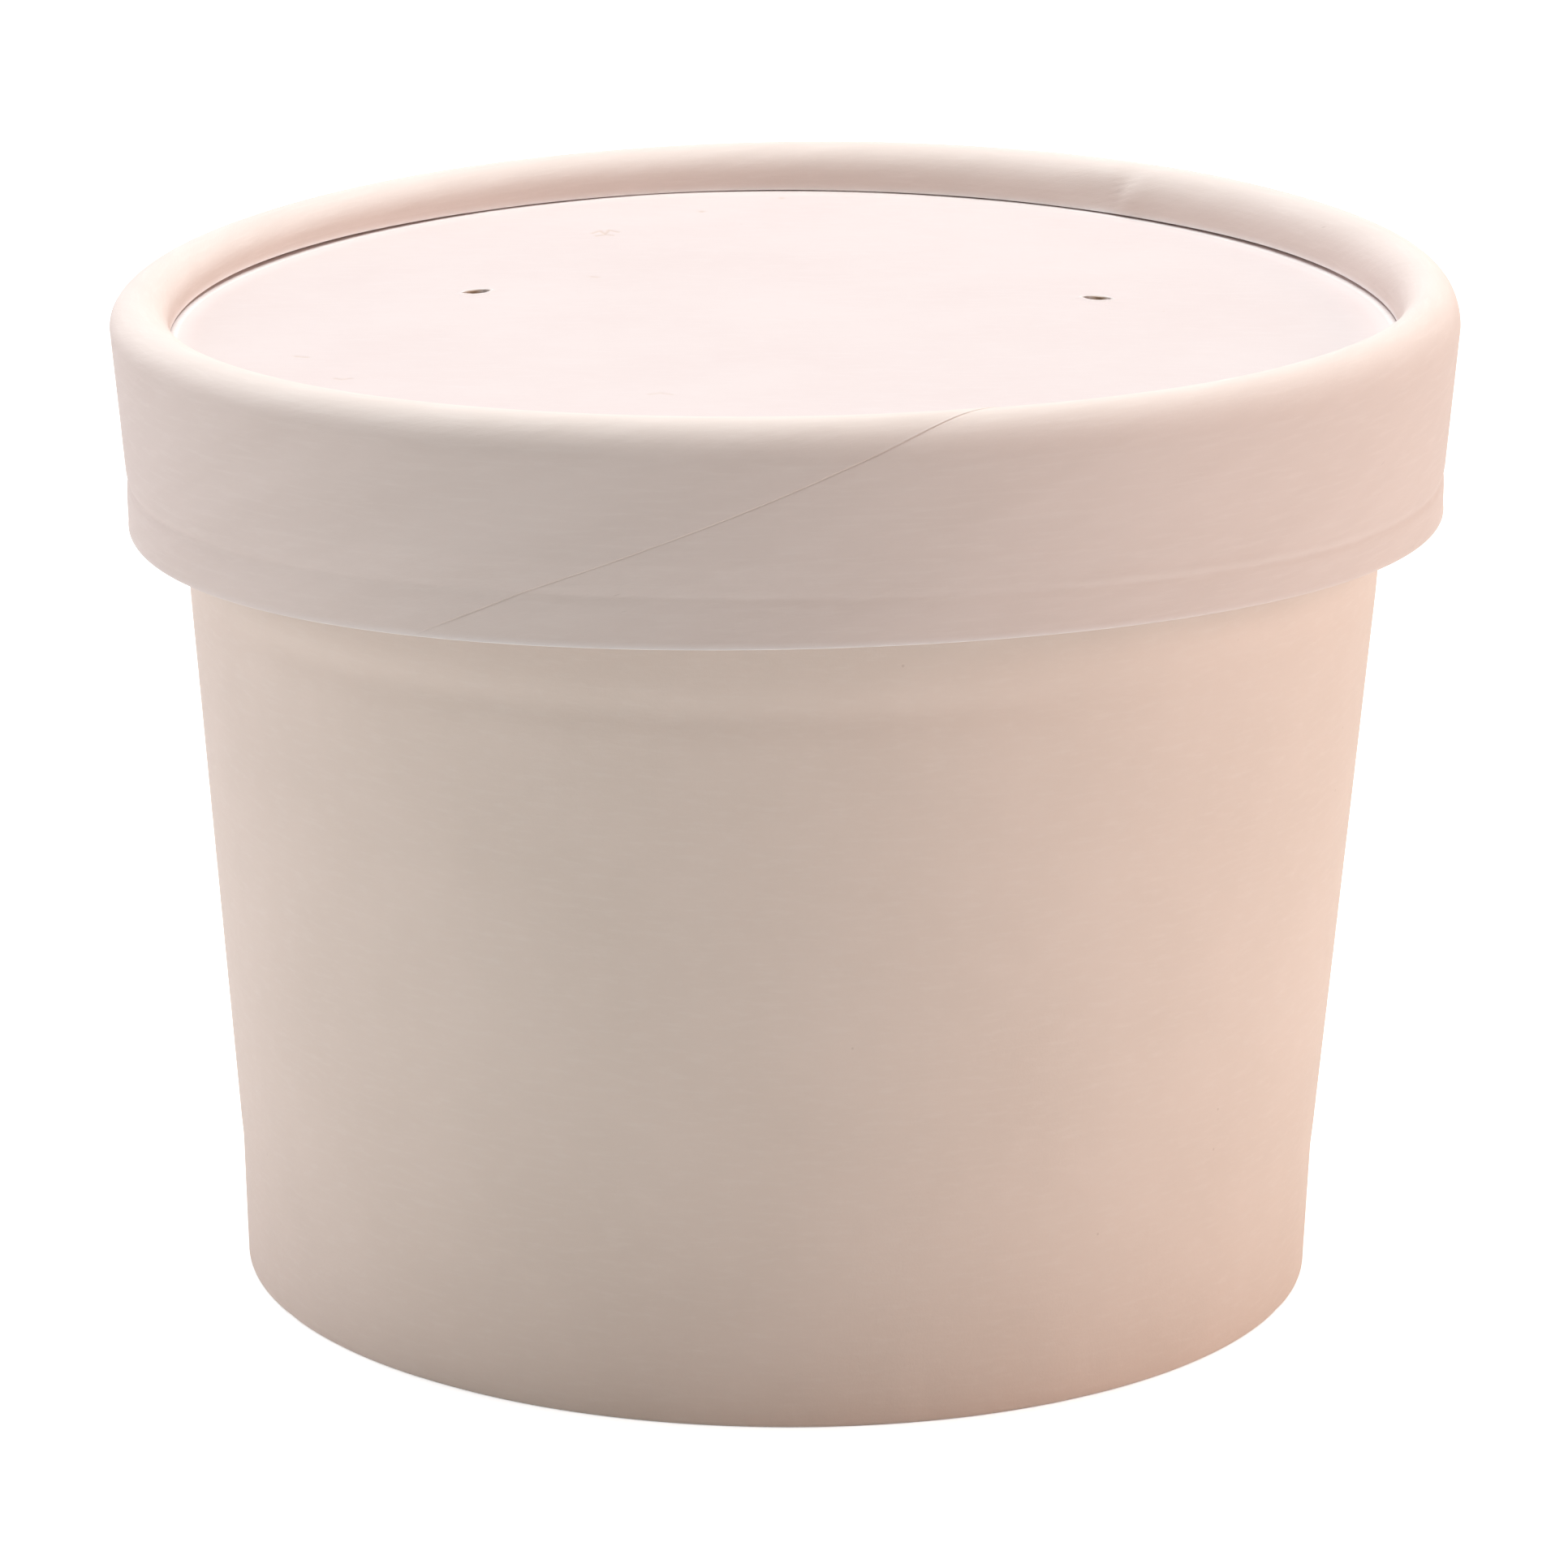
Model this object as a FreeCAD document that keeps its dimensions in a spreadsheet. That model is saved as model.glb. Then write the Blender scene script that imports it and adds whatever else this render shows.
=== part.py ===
"""Paper food container with its lid pressed on, as a parametric document in millimetres.

The cup is a tapered paper wall with an outward rolled rim, a lap seam down its back and a
foot that folds up round the flange of a recessed base disc.  The lid is a wound paper band
that curls in over a flat panel at the top and is crimped in under the cup's rim.  The closed
cup holds its form as one solid up to the middle of its rim.

The origin lies on the floor at the middle of the foot, +Z up, with the lap seam at +Y.
"""
import FreeCAD
import Part
import Sketcher

import math
import os

SHEET_NAME = "Sizes"

# name: (value in millimetres or degrees, what it is)
DRIVING_SIZES = {
    "cup_height": (71.4, "floor to the crown of the cup's rolled rim"),
    "rim_radius": (48.9, "outside of the cup's rolled rim"),
    "rim_roll": (1.6, "radius of the rolled rim's section"),
    "foot_radius": (40.65, "outside of the foot, on the floor"),
    "kink_radius": (41.05, "outside of the wall where the taper starts"),
    "kink_height": (10.0, "height of the pressed foot, where the taper starts"),
    "cup_board": (0.35, "thickness of the cup's wall board"),
    "base_board": (0.3, "thickness of the base disc's board"),
    "board_gap": (0.03, "clearance of the base disc's flange in the folded foot"),
    "fold_height": (7.4, "height of the raw edge folded up inside the foot"),
    "base_lift": (1.2, "raw edge of the fold up to the underside of the base disc"),
    "base_bend": (0.6, "inner radius where the base disc turns down to its flange"),
    "lap_width": (9.0, "width of the lap seam down the back of the wall"),
    "lap_step": (0.3, "how far the lap seam stands out of the wall"),
    "rim_clearance": (0.9, "lid band to the rolled rim, at the level of the lid's roll"),
    "seat_clearance": (0.1, "lid panel to the rim's crown, on the side that sits low"),
    "panel_fit": (0.15, "edge of the lid panel to the inside of the band"),
    "curl_gap": (0.3, "raw end of the curl to the top of the lid panel"),
    "lid_lean": (0.8, "angle at which the lid is pressed on, low towards -X, in degrees"),
    "band_board": (0.7, "thickness of the lid's wound band"),
    "band_flare": (0.8, "how much wider the band is at its roll than at its skirt"),
    "band_roll": (2.2, "outer radius of the curl along the top of the band"),
    "roll_rise": (1.15, "middle of the curl above the top of the lid panel"),
    "panel_board": (0.6, "thickness of the lid panel"),
    "skirt_depth": (11.35, "underside of the lid panel to the band's lower edge"),
    "crimp_depth": (0.25, "depth of the crimp that snaps under the rim"),
    "crimp_reach": (1.5, "half the height of the crimp"),
    "crimp_drop": (6.6, "underside of the lid panel to the middle of the crimp"),
    "vent_length": (2.3, "length of each vent slit"),
    "vent_width": (0.6, "width of each vent slit"),
    "vent_spread": (23.65, "middle of the lid to each vent slit, along X"),
    "left_vent_setback": (12.35, "middle of the lid to the left vent slit, along Y"),
    "right_vent_setback": (9.67, "middle of the lid to the right vent slit, along Y"),
    "left_vent_turn": (26.0, "angle at which the left vent slit lies, in degrees"),
    "right_vent_turn": (-17.0, "angle at which the right vent slit lies, in degrees"),
}

# name: (the two driving sizes that add up to it, what it is)
SUMMED_SIZES = {
    "recess_depth": (("fold_height", "base_lift"), "floor to the underside of the base disc"),
}

STATES_OF_FAILURE = ("Invalid", "Error")


class Size:
    """A length that carries its number and the sheet expression that gives it."""

    def __init__(self, value, text):
        self.value = float(value)
        self.text = text

    def __add__(self, other):
        return join(self, "+", other, self.value + as_size(other).value)

    def __sub__(self, other):
        return join(self, "-", other, self.value - as_size(other).value)

    def __mul__(self, other):
        return join(self, "*", other, self.value * as_size(other).value)

    def __truediv__(self, other):
        return join(self, "/", other, self.value / as_size(other).value)

    def __neg__(self):
        return Size(-self.value, "(-1 * {})".format(self.text))


def as_size(number):
    """Give a plain number the form of a Size."""
    return number if isinstance(number, Size) else Size(number, "({!r})".format(float(number)))


def join(left, sign, right, value):
    """Combine two sizes under one sign."""
    return Size(value, "({} {} {})".format(left.text, sign, as_size(right).text))


def root(size):
    """Square root of a size."""
    return Size(math.sqrt(size.value), "sqrt({})".format(size.text))


def sine(angle):
    """Sine of an angle in degrees."""
    return Size(math.sin(math.radians(angle.value)), "sin({})".format(angle.text))


def halfway(first, last, share):
    """The size that lies the given share of the way from first to last."""
    return first + (last - first) * share


def write_row(sheet, row, name, content, meaning):
    """Write one named size into its row of the spreadsheet."""
    sheet.set("A{}".format(row), name)
    sheet.set("B{}".format(row), content)
    sheet.setAlias("B{}".format(row), name)
    sheet.set("C{}".format(row), meaning)


def make_sheet(doc):
    """Write the sizes into the spreadsheet, one row each, and give them by name."""
    sheet = doc.addObject("Spreadsheet::Sheet", SHEET_NAME)
    sizes = {}
    for row, (name, (value, meaning)) in enumerate(DRIVING_SIZES.items(), start=1):
        write_row(sheet, row, name, str(value), meaning)
        sizes[name] = Size(value, "{}.{}".format(SHEET_NAME, name))
    for row, (name, (terms, meaning)) in enumerate(SUMMED_SIZES.items(), start=len(DRIVING_SIZES) + 1):
        write_row(sheet, row, name, "=" + " + ".join(terms), meaning)
        total = sum(sizes[term].value for term in terms)
        sizes[name] = Size(total, "{}.{}".format(SHEET_NAME, name))
    doc.recompute()
    return sizes


class Corner:
    """One corner of an outline, with the edge that leads on from it."""

    def __init__(self, across, up, arc=None, bow=1, long_way=False):
        self.across = as_size(across)
        self.up = as_size(up)
        self.arc = arc
        self.bow = bow
        self.long_way = long_way

    def vector(self):
        """The corner as a point of the sketch plane."""
        return FreeCAD.Vector(self.across.value, self.up.value, 0)


def arc_between(start, end):
    """The arc from one corner to the next, always drawn turning left.

    bow is 1 where the outline turns left along the arc and -1 where it turns right, and an
    arc that goes the long way turns more than half a circle.
    """
    first, last = start.vector(), end.vector()
    chord = last - first
    radius = start.arc.value
    rise = math.sqrt(max(radius ** 2 - (chord.Length / 2) ** 2, 0.0))
    side = FreeCAD.Vector(-chord.y, chord.x, 0).normalize() * start.bow
    centre = (first + last) * 0.5 + side * (-rise if start.long_way else rise)
    middle = centre - side * radius
    if start.bow < 0:
        first, last = last, first
    return Part.ArcOfCircle(first, middle, last)


def own_plane(body, role):
    """One of the body's own origin planes or axes."""
    return next(item for item in body.Origin.OriginFeatures if item.Role == role)


def new_sketch(body, name, plane):
    """An empty sketch on one of the body's own planes."""
    sketch = body.newObject("Sketcher::SketchObject", name)
    sketch.AttachmentSupport = [(own_plane(body, plane), "")]
    sketch.MapMode = "FlatFace"
    return sketch


def pin(sketch, edge, end, corner):
    """Tie one end of an edge to its place by the sheet."""
    for kind, size in (("DistanceX", corner.across), ("DistanceY", corner.up)):
        index = sketch.addConstraint(Sketcher.Constraint(kind, -1, 1, edge, end, size.value))
        sketch.setExpression("Constraints[{}]".format(index), size.text)


def draw_outline(sketch, corners):
    """Draw a closed outline through the corners and tie each one to the sheet."""
    count = len(corners)
    for number, corner in enumerate(corners):
        following = corners[(number + 1) % count]
        if corner.arc is None:
            shape = Part.LineSegment(corner.vector(), following.vector())
        else:
            shape = arc_between(corner, following)
        sketch.addGeometry(shape, False)
    ends = [(1, 2) if corner.arc is None or corner.bow > 0 else (2, 1) for corner in corners]
    for number in range(count):
        following = (number + 1) % count
        pair = Sketcher.Constraint("Coincident", number, ends[number][1], following, ends[following][0])
        sketch.addConstraint(pair)
    for number, corner in enumerate(corners):
        pin(sketch, number, ends[number][0], corner)
        if corner.arc is not None:
            index = sketch.addConstraint(Sketcher.Constraint("Radius", number, corner.arc.value))
            sketch.setExpression("Constraints[{}]".format(index), corner.arc.text)
    if sketch.solve() != 0:
        raise RuntimeError("the outline {} has no solution".format(sketch.Name))


def turn(body, name, corners, plane="XZ_Plane", degrees=None):
    """Turn an outline of radius and height about the body's upright axis."""
    sketch = new_sketch(body, name + "_outline", plane)
    draw_outline(sketch, corners)
    feature = body.newObject("PartDesign::Revolution", name)
    feature.Profile = sketch
    feature.ReferenceAxis = (sketch, ["V_Axis"])
    feature.Angle = 360.0
    if degrees is not None:
        feature.Midplane = True
        feature.setExpression("Angle", degrees.text)
    body.Tip = feature
    return feature


def foot_line(sizes, height, depth):
    """Radius of the pressed foot at a height, some depth in from its outside."""
    share = height / sizes["kink_height"]
    return halfway(sizes["foot_radius"], sizes["kink_radius"], share) - depth


def rim_middle(sizes):
    """Radius and height of the middle of the rolled rim."""
    return sizes["rim_radius"] - sizes["rim_roll"], sizes["cup_height"] - sizes["rim_roll"]


def rim_root(sizes):
    """Radius and height of the place where the wall runs into the rolled rim."""
    middle_radius, middle_height = rim_middle(sizes)
    inset = sizes["rim_roll"] - sizes["cup_board"]
    drop = root(sizes["rim_roll"] * sizes["rim_roll"] - inset * inset)
    return middle_radius - inset, middle_height - drop


def flange_slot(sizes):
    """Radial width of the slot that takes the base disc's flange."""
    return sizes["base_board"] + sizes["board_gap"] * 2


def seat_height(sizes):
    """Height of the base disc's upper face."""
    return sizes["recess_depth"] + sizes["base_board"]


def make_cup_body(doc, sizes):
    """The tapered wall with its rim and folded foot, closed up to the middle of the rim."""
    body = doc.addObject("PartDesign::Body", "cup_body")
    board = sizes["cup_board"]
    seat = seat_height(sizes)
    fold_floor = board + sizes["board_gap"]
    fold_back = board + flange_slot(sizes)
    fold_face = fold_back + board
    middle_radius, middle_height = rim_middle(sizes)
    root_radius, root_height = rim_root(sizes)
    inner_foot = foot_line(sizes, board, fold_face)
    outer_foot = foot_line(sizes, board, 0.0)
    turn(body, "wall", [
        Corner(0.0, seat),
        Corner(foot_line(sizes, seat, board), seat),
        Corner(foot_line(sizes, fold_floor, board), fold_floor),
        Corner(foot_line(sizes, fold_floor, fold_back), fold_floor),
        Corner(foot_line(sizes, sizes["fold_height"], fold_back), sizes["fold_height"]),
        Corner(foot_line(sizes, sizes["fold_height"], fold_face), sizes["fold_height"]),
        Corner(inner_foot, board, arc=board),
        Corner(inner_foot + board, 0.0),
        Corner(outer_foot - board, 0.0, arc=board),
        Corner(outer_foot, board),
        Corner(sizes["kink_radius"], sizes["kink_height"]),
        Corner(root_radius, root_height, arc=sizes["rim_roll"], long_way=True),
        Corner(middle_radius - sizes["rim_roll"], middle_height),
        Corner(0.0, middle_height),
    ])
    lap = sizes["lap_step"]
    lap_floor = board * 2
    turn(body, "lap_seam", [
        Corner(foot_line(sizes, lap_floor, board), lap_floor),
        Corner(foot_line(sizes, lap_floor, 0.0) + lap, lap_floor),
        Corner(sizes["kink_radius"] + lap, sizes["kink_height"]),
        Corner(root_radius + lap, root_height),
        Corner(root_radius - board, root_height),
        Corner(sizes["kink_radius"] - board, sizes["kink_height"]),
    ], plane="YZ_Plane", degrees=sizes["lap_width"] / sizes["rim_radius"] * math.degrees(1))
    return body


def make_cup_base(doc, sizes):
    """The recessed base disc, its flange turned down into the folded foot."""
    body = doc.addObject("PartDesign::Body", "cup_base")
    outer = sizes["cup_board"] + sizes["board_gap"]
    inner = outer + sizes["base_board"]
    foot = sizes["cup_board"] + sizes["board_gap"] * 2
    under = sizes["recess_depth"]
    bend = sizes["base_bend"]
    turn(body, "disc", [
        Corner(0.0, under),
        Corner(foot_line(sizes, under, inner) - bend, under, arc=bend, bow=-1),
        Corner(foot_line(sizes, under - bend, inner), under - bend),
        Corner(foot_line(sizes, foot, inner), foot),
        Corner(foot_line(sizes, foot, outer), foot),
        Corner(foot_line(sizes, seat_height(sizes), outer), seat_height(sizes)),
        Corner(0.0, seat_height(sizes)),
    ])
    return body


def band_radius(sizes):
    """Outside of the lid band at its roll."""
    return sizes["rim_radius"] + sizes["rim_clearance"] + sizes["band_board"]


def skirt_radius(sizes):
    """Outside of the lid band at its lower edge."""
    return band_radius(sizes) - sizes["band_flare"]


def roll_height(sizes):
    """Height of the middle of the band's curl above the underside of the panel."""
    return sizes["panel_board"] + sizes["roll_rise"]


def crimp_line(sizes, depth):
    """Corners of the crimp from its lower end up, some depth in from the band's outside.

    Three arcs of one bend follow each other, out, in and out, so that the crimp runs smoothly
    out of the skirt.  A line inside the board has the same middles and its own radii.
    """
    reach, sink = sizes["crimp_reach"], sizes["crimp_depth"]
    bend = (reach * reach + sink * sink) / (sink * 4)
    level = -sizes["crimp_drop"]
    outside = skirt_radius(sizes)
    near = bend - depth
    swing_up = near * reach / (bend * 2)
    turn_radius = outside - bend + near - near * sink / (bend * 2)
    low, high = level - reach, level + reach
    return [
        Corner(outside - depth, low, arc=near),
        Corner(turn_radius, low + swing_up, arc=bend + depth, bow=-1),
        Corner(turn_radius, high - swing_up, arc=near),
        Corner(outside - depth, high),
    ]


def backwards(corners):
    """The same corners walked the other way, each arc with the corner it now leaves."""
    walked = []
    for number in range(len(corners) - 1, -1, -1):
        corner = corners[number]
        edge = corners[number - 1] if number > 0 else Corner(0.0, 0.0)
        walked.append(Corner(corner.across, corner.up, arc=edge.arc, bow=-edge.bow))
    return walked


def place_lid(body, sizes):
    """Set a lid piece on the rim, leaning so that its low side just clears the crown."""
    rim_crown_radius = sizes["rim_radius"] - sizes["rim_roll"]
    level = sizes["cup_height"] + sizes["seat_clearance"] + rim_crown_radius * sine(sizes["lid_lean"])
    lean = FreeCAD.Rotation(FreeCAD.Vector(0, -1, 0), sizes["lid_lean"].value)
    body.Placement = FreeCAD.Placement(FreeCAD.Vector(0, 0, level.value), lean)
    body.setExpression(".Placement.Base.z", level.text)
    body.setExpression(".Placement.Rotation.Angle", sizes["lid_lean"].text)


def make_lid_band(doc, sizes):
    """The wound band: a skirt crimped in under the rim, curled in at the top over the panel."""
    body = doc.addObject("PartDesign::Body", "lid_band")
    board, roll = sizes["band_board"], sizes["band_roll"]
    outside, skirt = band_radius(sizes), skirt_radius(sizes)
    edge_level = -sizes["skirt_depth"]
    roll_radius, roll_level = outside - roll, roll_height(sizes)
    drop = sizes["roll_rise"] - sizes["curl_gap"]
    inset = root(roll * roll - drop * drop)
    slim = (roll - board) / roll
    turn(body, "band", [
        Corner(skirt - board, edge_level),
        Corner(skirt, edge_level),
        *crimp_line(sizes, 0.0),
        Corner(outside, roll_level, arc=roll, long_way=True),
        Corner(roll_radius - inset, roll_level - drop),
        Corner(roll_radius - inset * slim, roll_level - drop * slim, arc=roll - board, bow=-1, long_way=True),
        Corner(outside - board, roll_level),
        *backwards(crimp_line(sizes, board)),
    ])
    place_lid(body, sizes)
    return body


def band_inside_at(sizes, level):
    """Inside radius of the lid band at a level above its crimp."""
    foot = sizes["crimp_reach"] - sizes["crimp_drop"]
    share = (as_size(level) - foot) / (roll_height(sizes) - foot)
    return halfway(skirt_radius(sizes), band_radius(sizes), share) - sizes["band_board"]


def cut_vent(body, sizes, side, spot):
    """Cut the vent slit on one side through the panel, its middle at a place along X."""
    name = side + "_vent"
    half, gape = sizes["vent_length"] / 2, sizes["vent_width"] / 2
    lip = (half * half + gape * gape) / (gape * 2)
    sketch = new_sketch(body, name + "_outline", "XY_Plane")
    setback, angle = sizes[name + "_setback"], sizes[name + "_turn"]
    turned = FreeCAD.Rotation(FreeCAD.Vector(0, 0, 1), angle.value)
    middle = FreeCAD.Vector(spot.value, setback.value, 0)
    sketch.AttachmentOffset = FreeCAD.Placement(middle, turned)
    sketch.setExpression(".AttachmentOffset.Base.x", spot.text)
    sketch.setExpression(".AttachmentOffset.Base.y", setback.text)
    sketch.setExpression(".AttachmentOffset.Rotation.Angle", angle.text)
    draw_outline(sketch, [Corner(-half, 0.0, arc=lip), Corner(half, 0.0, arc=lip)])
    pocket = body.newObject("PartDesign::Pocket", name)
    pocket.Profile = sketch
    pocket.Midplane = True
    pocket.setExpression("Length", (sizes["panel_board"] * 4).text)
    body.Tip = pocket


def make_lid_panel(doc, sizes):
    """The flat panel of the lid with its two vent slits."""
    body = doc.addObject("PartDesign::Body", "lid_panel")
    radius = band_inside_at(sizes, 0.0) - sizes["panel_fit"]
    thickness = sizes["panel_board"]
    turn(body, "panel", [
        Corner(0.0, 0.0),
        Corner(radius, 0.0),
        Corner(radius, thickness),
        Corner(0.0, thickness),
    ])
    doc.recompute()
    whole = body.Shape.Volume
    cut_vent(body, sizes, "left", -sizes["vent_spread"])
    cut_vent(body, sizes, "right", sizes["vent_spread"])
    doc.recompute()
    if body.Shape.Volume >= whole:
        raise RuntimeError("the vent slits cut nothing out of the panel")
    place_lid(body, sizes)
    return body


def check(doc, bodies):
    """Stop if any object of the document failed or any piece isn't one valid solid."""
    for item in doc.Objects:
        if any(state in STATES_OF_FAILURE for state in item.State):
            raise RuntimeError("{} did not recompute: {}".format(item.Name, item.State))
    for body in bodies:
        shape = body.Shape
        if shape.isNull() or not shape.isValid() or len(shape.Solids) != 1:
            raise RuntimeError("{} is not one valid solid".format(body.Label))


def write_parts(bodies):
    """Write each piece to its own file and report its size."""
    os.makedirs("parts", exist_ok=True)
    for body in bodies:
        body.Shape.exportStep(os.path.join("parts", body.Label + ".step"))
        box = body.Shape.optimalBoundingBox(False, False)
        print("{:10s} volume {:10.1f} mm3, box {:.2f} x {:.2f} x {:.2f}, z {:.2f} to {:.2f}".format(
            body.Label, body.Shape.Volume, box.XLength, box.YLength, box.ZLength, box.ZMin, box.ZMax))


def main():
    """Build the container and write its pieces."""
    doc = FreeCAD.newDocument("paper_food_container")
    sizes = make_sheet(doc)
    bodies = [
        make_cup_body(doc, sizes),
        make_cup_base(doc, sizes),
        make_lid_band(doc, sizes),
        make_lid_panel(doc, sizes),
    ]
    doc.recompute()
    check(doc, bodies)
    write_parts(bodies)


main()
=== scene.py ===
"""Paper food container with its lid pressed on: the pieces, their finishes, the light and the view.

The cup is a tapered paper wall with a lap seam down its back and a foot folded up round a
recessed base disc.  The lid is a paper band wound on a slant, curled in over a flat panel with
two vent slits.  Everything is in metres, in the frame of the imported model: the origin on the
floor at the middle of the foot, +Z up, the front at -Y.
"""
import logging
import math
from dataclasses import dataclass
from enum import Enum
from typing import Dict, List, Mapping, Optional, Sequence, Tuple, Union

import bmesh
import bpy
import numpy as np
from mathutils import Matrix, Vector, geometry, noise


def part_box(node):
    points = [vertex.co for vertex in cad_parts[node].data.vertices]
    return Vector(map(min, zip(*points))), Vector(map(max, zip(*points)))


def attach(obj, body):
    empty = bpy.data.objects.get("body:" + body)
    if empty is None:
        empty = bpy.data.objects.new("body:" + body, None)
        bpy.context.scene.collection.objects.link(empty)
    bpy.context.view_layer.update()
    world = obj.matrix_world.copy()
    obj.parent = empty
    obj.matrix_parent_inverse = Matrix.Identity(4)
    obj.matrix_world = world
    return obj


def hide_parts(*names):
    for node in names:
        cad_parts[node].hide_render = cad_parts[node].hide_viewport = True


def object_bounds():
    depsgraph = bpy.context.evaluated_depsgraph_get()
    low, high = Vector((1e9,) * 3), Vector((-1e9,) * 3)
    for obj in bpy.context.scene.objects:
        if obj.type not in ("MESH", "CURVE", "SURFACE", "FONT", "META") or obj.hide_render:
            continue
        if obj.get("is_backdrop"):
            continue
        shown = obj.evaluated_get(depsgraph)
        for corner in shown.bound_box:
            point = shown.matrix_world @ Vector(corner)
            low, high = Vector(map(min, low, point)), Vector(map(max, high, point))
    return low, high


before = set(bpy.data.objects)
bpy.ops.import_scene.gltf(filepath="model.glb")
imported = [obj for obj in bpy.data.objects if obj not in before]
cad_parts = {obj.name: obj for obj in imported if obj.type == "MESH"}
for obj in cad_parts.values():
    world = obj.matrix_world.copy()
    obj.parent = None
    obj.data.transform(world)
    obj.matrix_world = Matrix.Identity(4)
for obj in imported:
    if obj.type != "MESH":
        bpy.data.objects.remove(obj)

LOG = logging.getLogger("food_container")
BODY = "root"
MM = 0.001
DEGREE = math.pi / 180
SAME_SPOT = 1e-8
MERGE_DISTANCE = 1e-6
FRONT = -math.pi / 2
WHITE = (1.0, 1.0, 1.0, 1.0)

Colour = Tuple[float, float, float]
Spot = Tuple[float, float]
Socket = bpy.types.NodeSocket
Feed = Union[Socket, float, int, Sequence[float], bpy.types.Material]


def bump(distance: np.ndarray, width: float) -> np.ndarray:
    """Give a smooth hump of height 1 that falls off over a width.

    Args:
        distance: How far each point lies from the middle of the hump.
        width: Distance at which the hump has sunk to about a third.

    Returns:
        The hump's height at each point.
    """
    return np.exp(-((distance / width) ** 2))


def ease(value: np.ndarray, start: float, end: float) -> np.ndarray:
    """Rise smoothly from 0 at start to 1 at end.

    Args:
        value: The numbers to look up.
        start: Where the rise starts.
        end: Where the rise ends.

    Returns:
        The share of the rise at each number.
    """
    share = np.clip((value - start) / (end - start), 0.0, 1.0)
    return share * share * (3.0 - 2.0 * share)


def turned_to(angle: np.ndarray, middle: float) -> np.ndarray:
    """Give angles as signed turns from a middle, between minus and plus half a turn."""
    return (angle - middle + math.pi) % (2 * math.pi) - math.pi


@dataclass(frozen=True)
class Press:
    """A soft line pressed up along a surface, or down where its height is negative."""

    height: float
    place: float
    width: float

    def at(self, distance: np.ndarray) -> np.ndarray:
        """Give the surface's rise at each distance."""
        return self.height * bump(distance - self.place, self.width)


class Graph:
    """A node tree under construction, with short ways to add and join nodes."""

    def __init__(self, tree: bpy.types.NodeTree) -> None:
        """Take over a tree and empty it."""
        self.tree = tree
        tree.nodes.clear()

    def feed(self, socket: Socket, value: Feed) -> None:
        """Join a socket to another, or set its own value.

        Args:
            socket: The input to set.
            value: A socket to link to it, or a plain value.
        """
        if isinstance(value, Socket):
            self.tree.links.new(value, socket)
        else:
            socket.default_value = value

    def add(self, kind: str, inputs: Optional[Mapping[Union[str, int], Feed]] = None,
            **settings: object) -> bpy.types.Node:
        """Add a node.

        Args:
            kind: The node's type name.
            inputs: What goes into its sockets, by name or place.
            **settings: The node's own options.

        Returns:
            The new node.
        """
        node = self.tree.nodes.new(kind)
        for name, value in settings.items():
            setattr(node, name, value)
        for key, value in (inputs or {}).items():
            self.feed(node.inputs[key], value)
        return node

    def out(self, kind: str, inputs: Optional[Mapping[Union[str, int], Feed]] = None,
            **settings: object) -> Socket:
        """Add a node and give its first output."""
        return self.add(kind, inputs, **settings).outputs[0]

    def math(self, operation: str, *feeds: Feed) -> Socket:
        """Add a math node and give its result."""
        return self.out("ShaderNodeMath", dict(enumerate(feeds)), operation=operation)

    def times(self, first: Feed, second: Feed) -> Socket:
        """Multiply two numbers."""
        return self.math("MULTIPLY", first, second)

    def plus(self, first: Feed, second: Feed) -> Socket:
        """Add two numbers."""
        return self.math("ADD", first, second)

    def vector(self, across: Feed = 0.0, back: Feed = 0.0, up: Feed = 0.0) -> Socket:
        """Join three numbers in a vector."""
        return self.out("ShaderNodeCombineXYZ", {0: across, 1: back, 2: up})

    def parts(self, vector: Feed) -> bpy.types.NodeOutputs:
        """Split a vector in its three numbers."""
        return self.add("ShaderNodeSeparateXYZ", {0: vector}).outputs

    def reach(self, value: Feed, low: Feed, high: Feed, to_low: Feed = 0.0, to_high: Feed = 1.0,
              smooth: bool = False) -> Socket:
        """Map a value from one range to another.

        Args:
            value: The value to map.
            low: Start of its range.
            high: End of its range.
            to_low: Result at the start.
            to_high: Result at the end.
            smooth: True for an eased rise, False for a straight one.

        Returns:
            The mapped value, held between the two results.
        """
        return self.out("ShaderNodeMapRange", {0: value, 1: low, 2: high, 3: to_low, 4: to_high},
                        interpolation_type="SMOOTHSTEP" if smooth else "LINEAR")

    def blend(self, share: Feed, first: Feed, second: Feed) -> Socket:
        """Mix two colours."""
        node = self.add("ShaderNodeMix", {0: share, 6: first, 7: second}, data_type="RGBA")
        return node.outputs[2]


class Grain(Enum):
    """What the fibres of a board run along."""

    ROUND = "round"
    FLAT = "flat"


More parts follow.
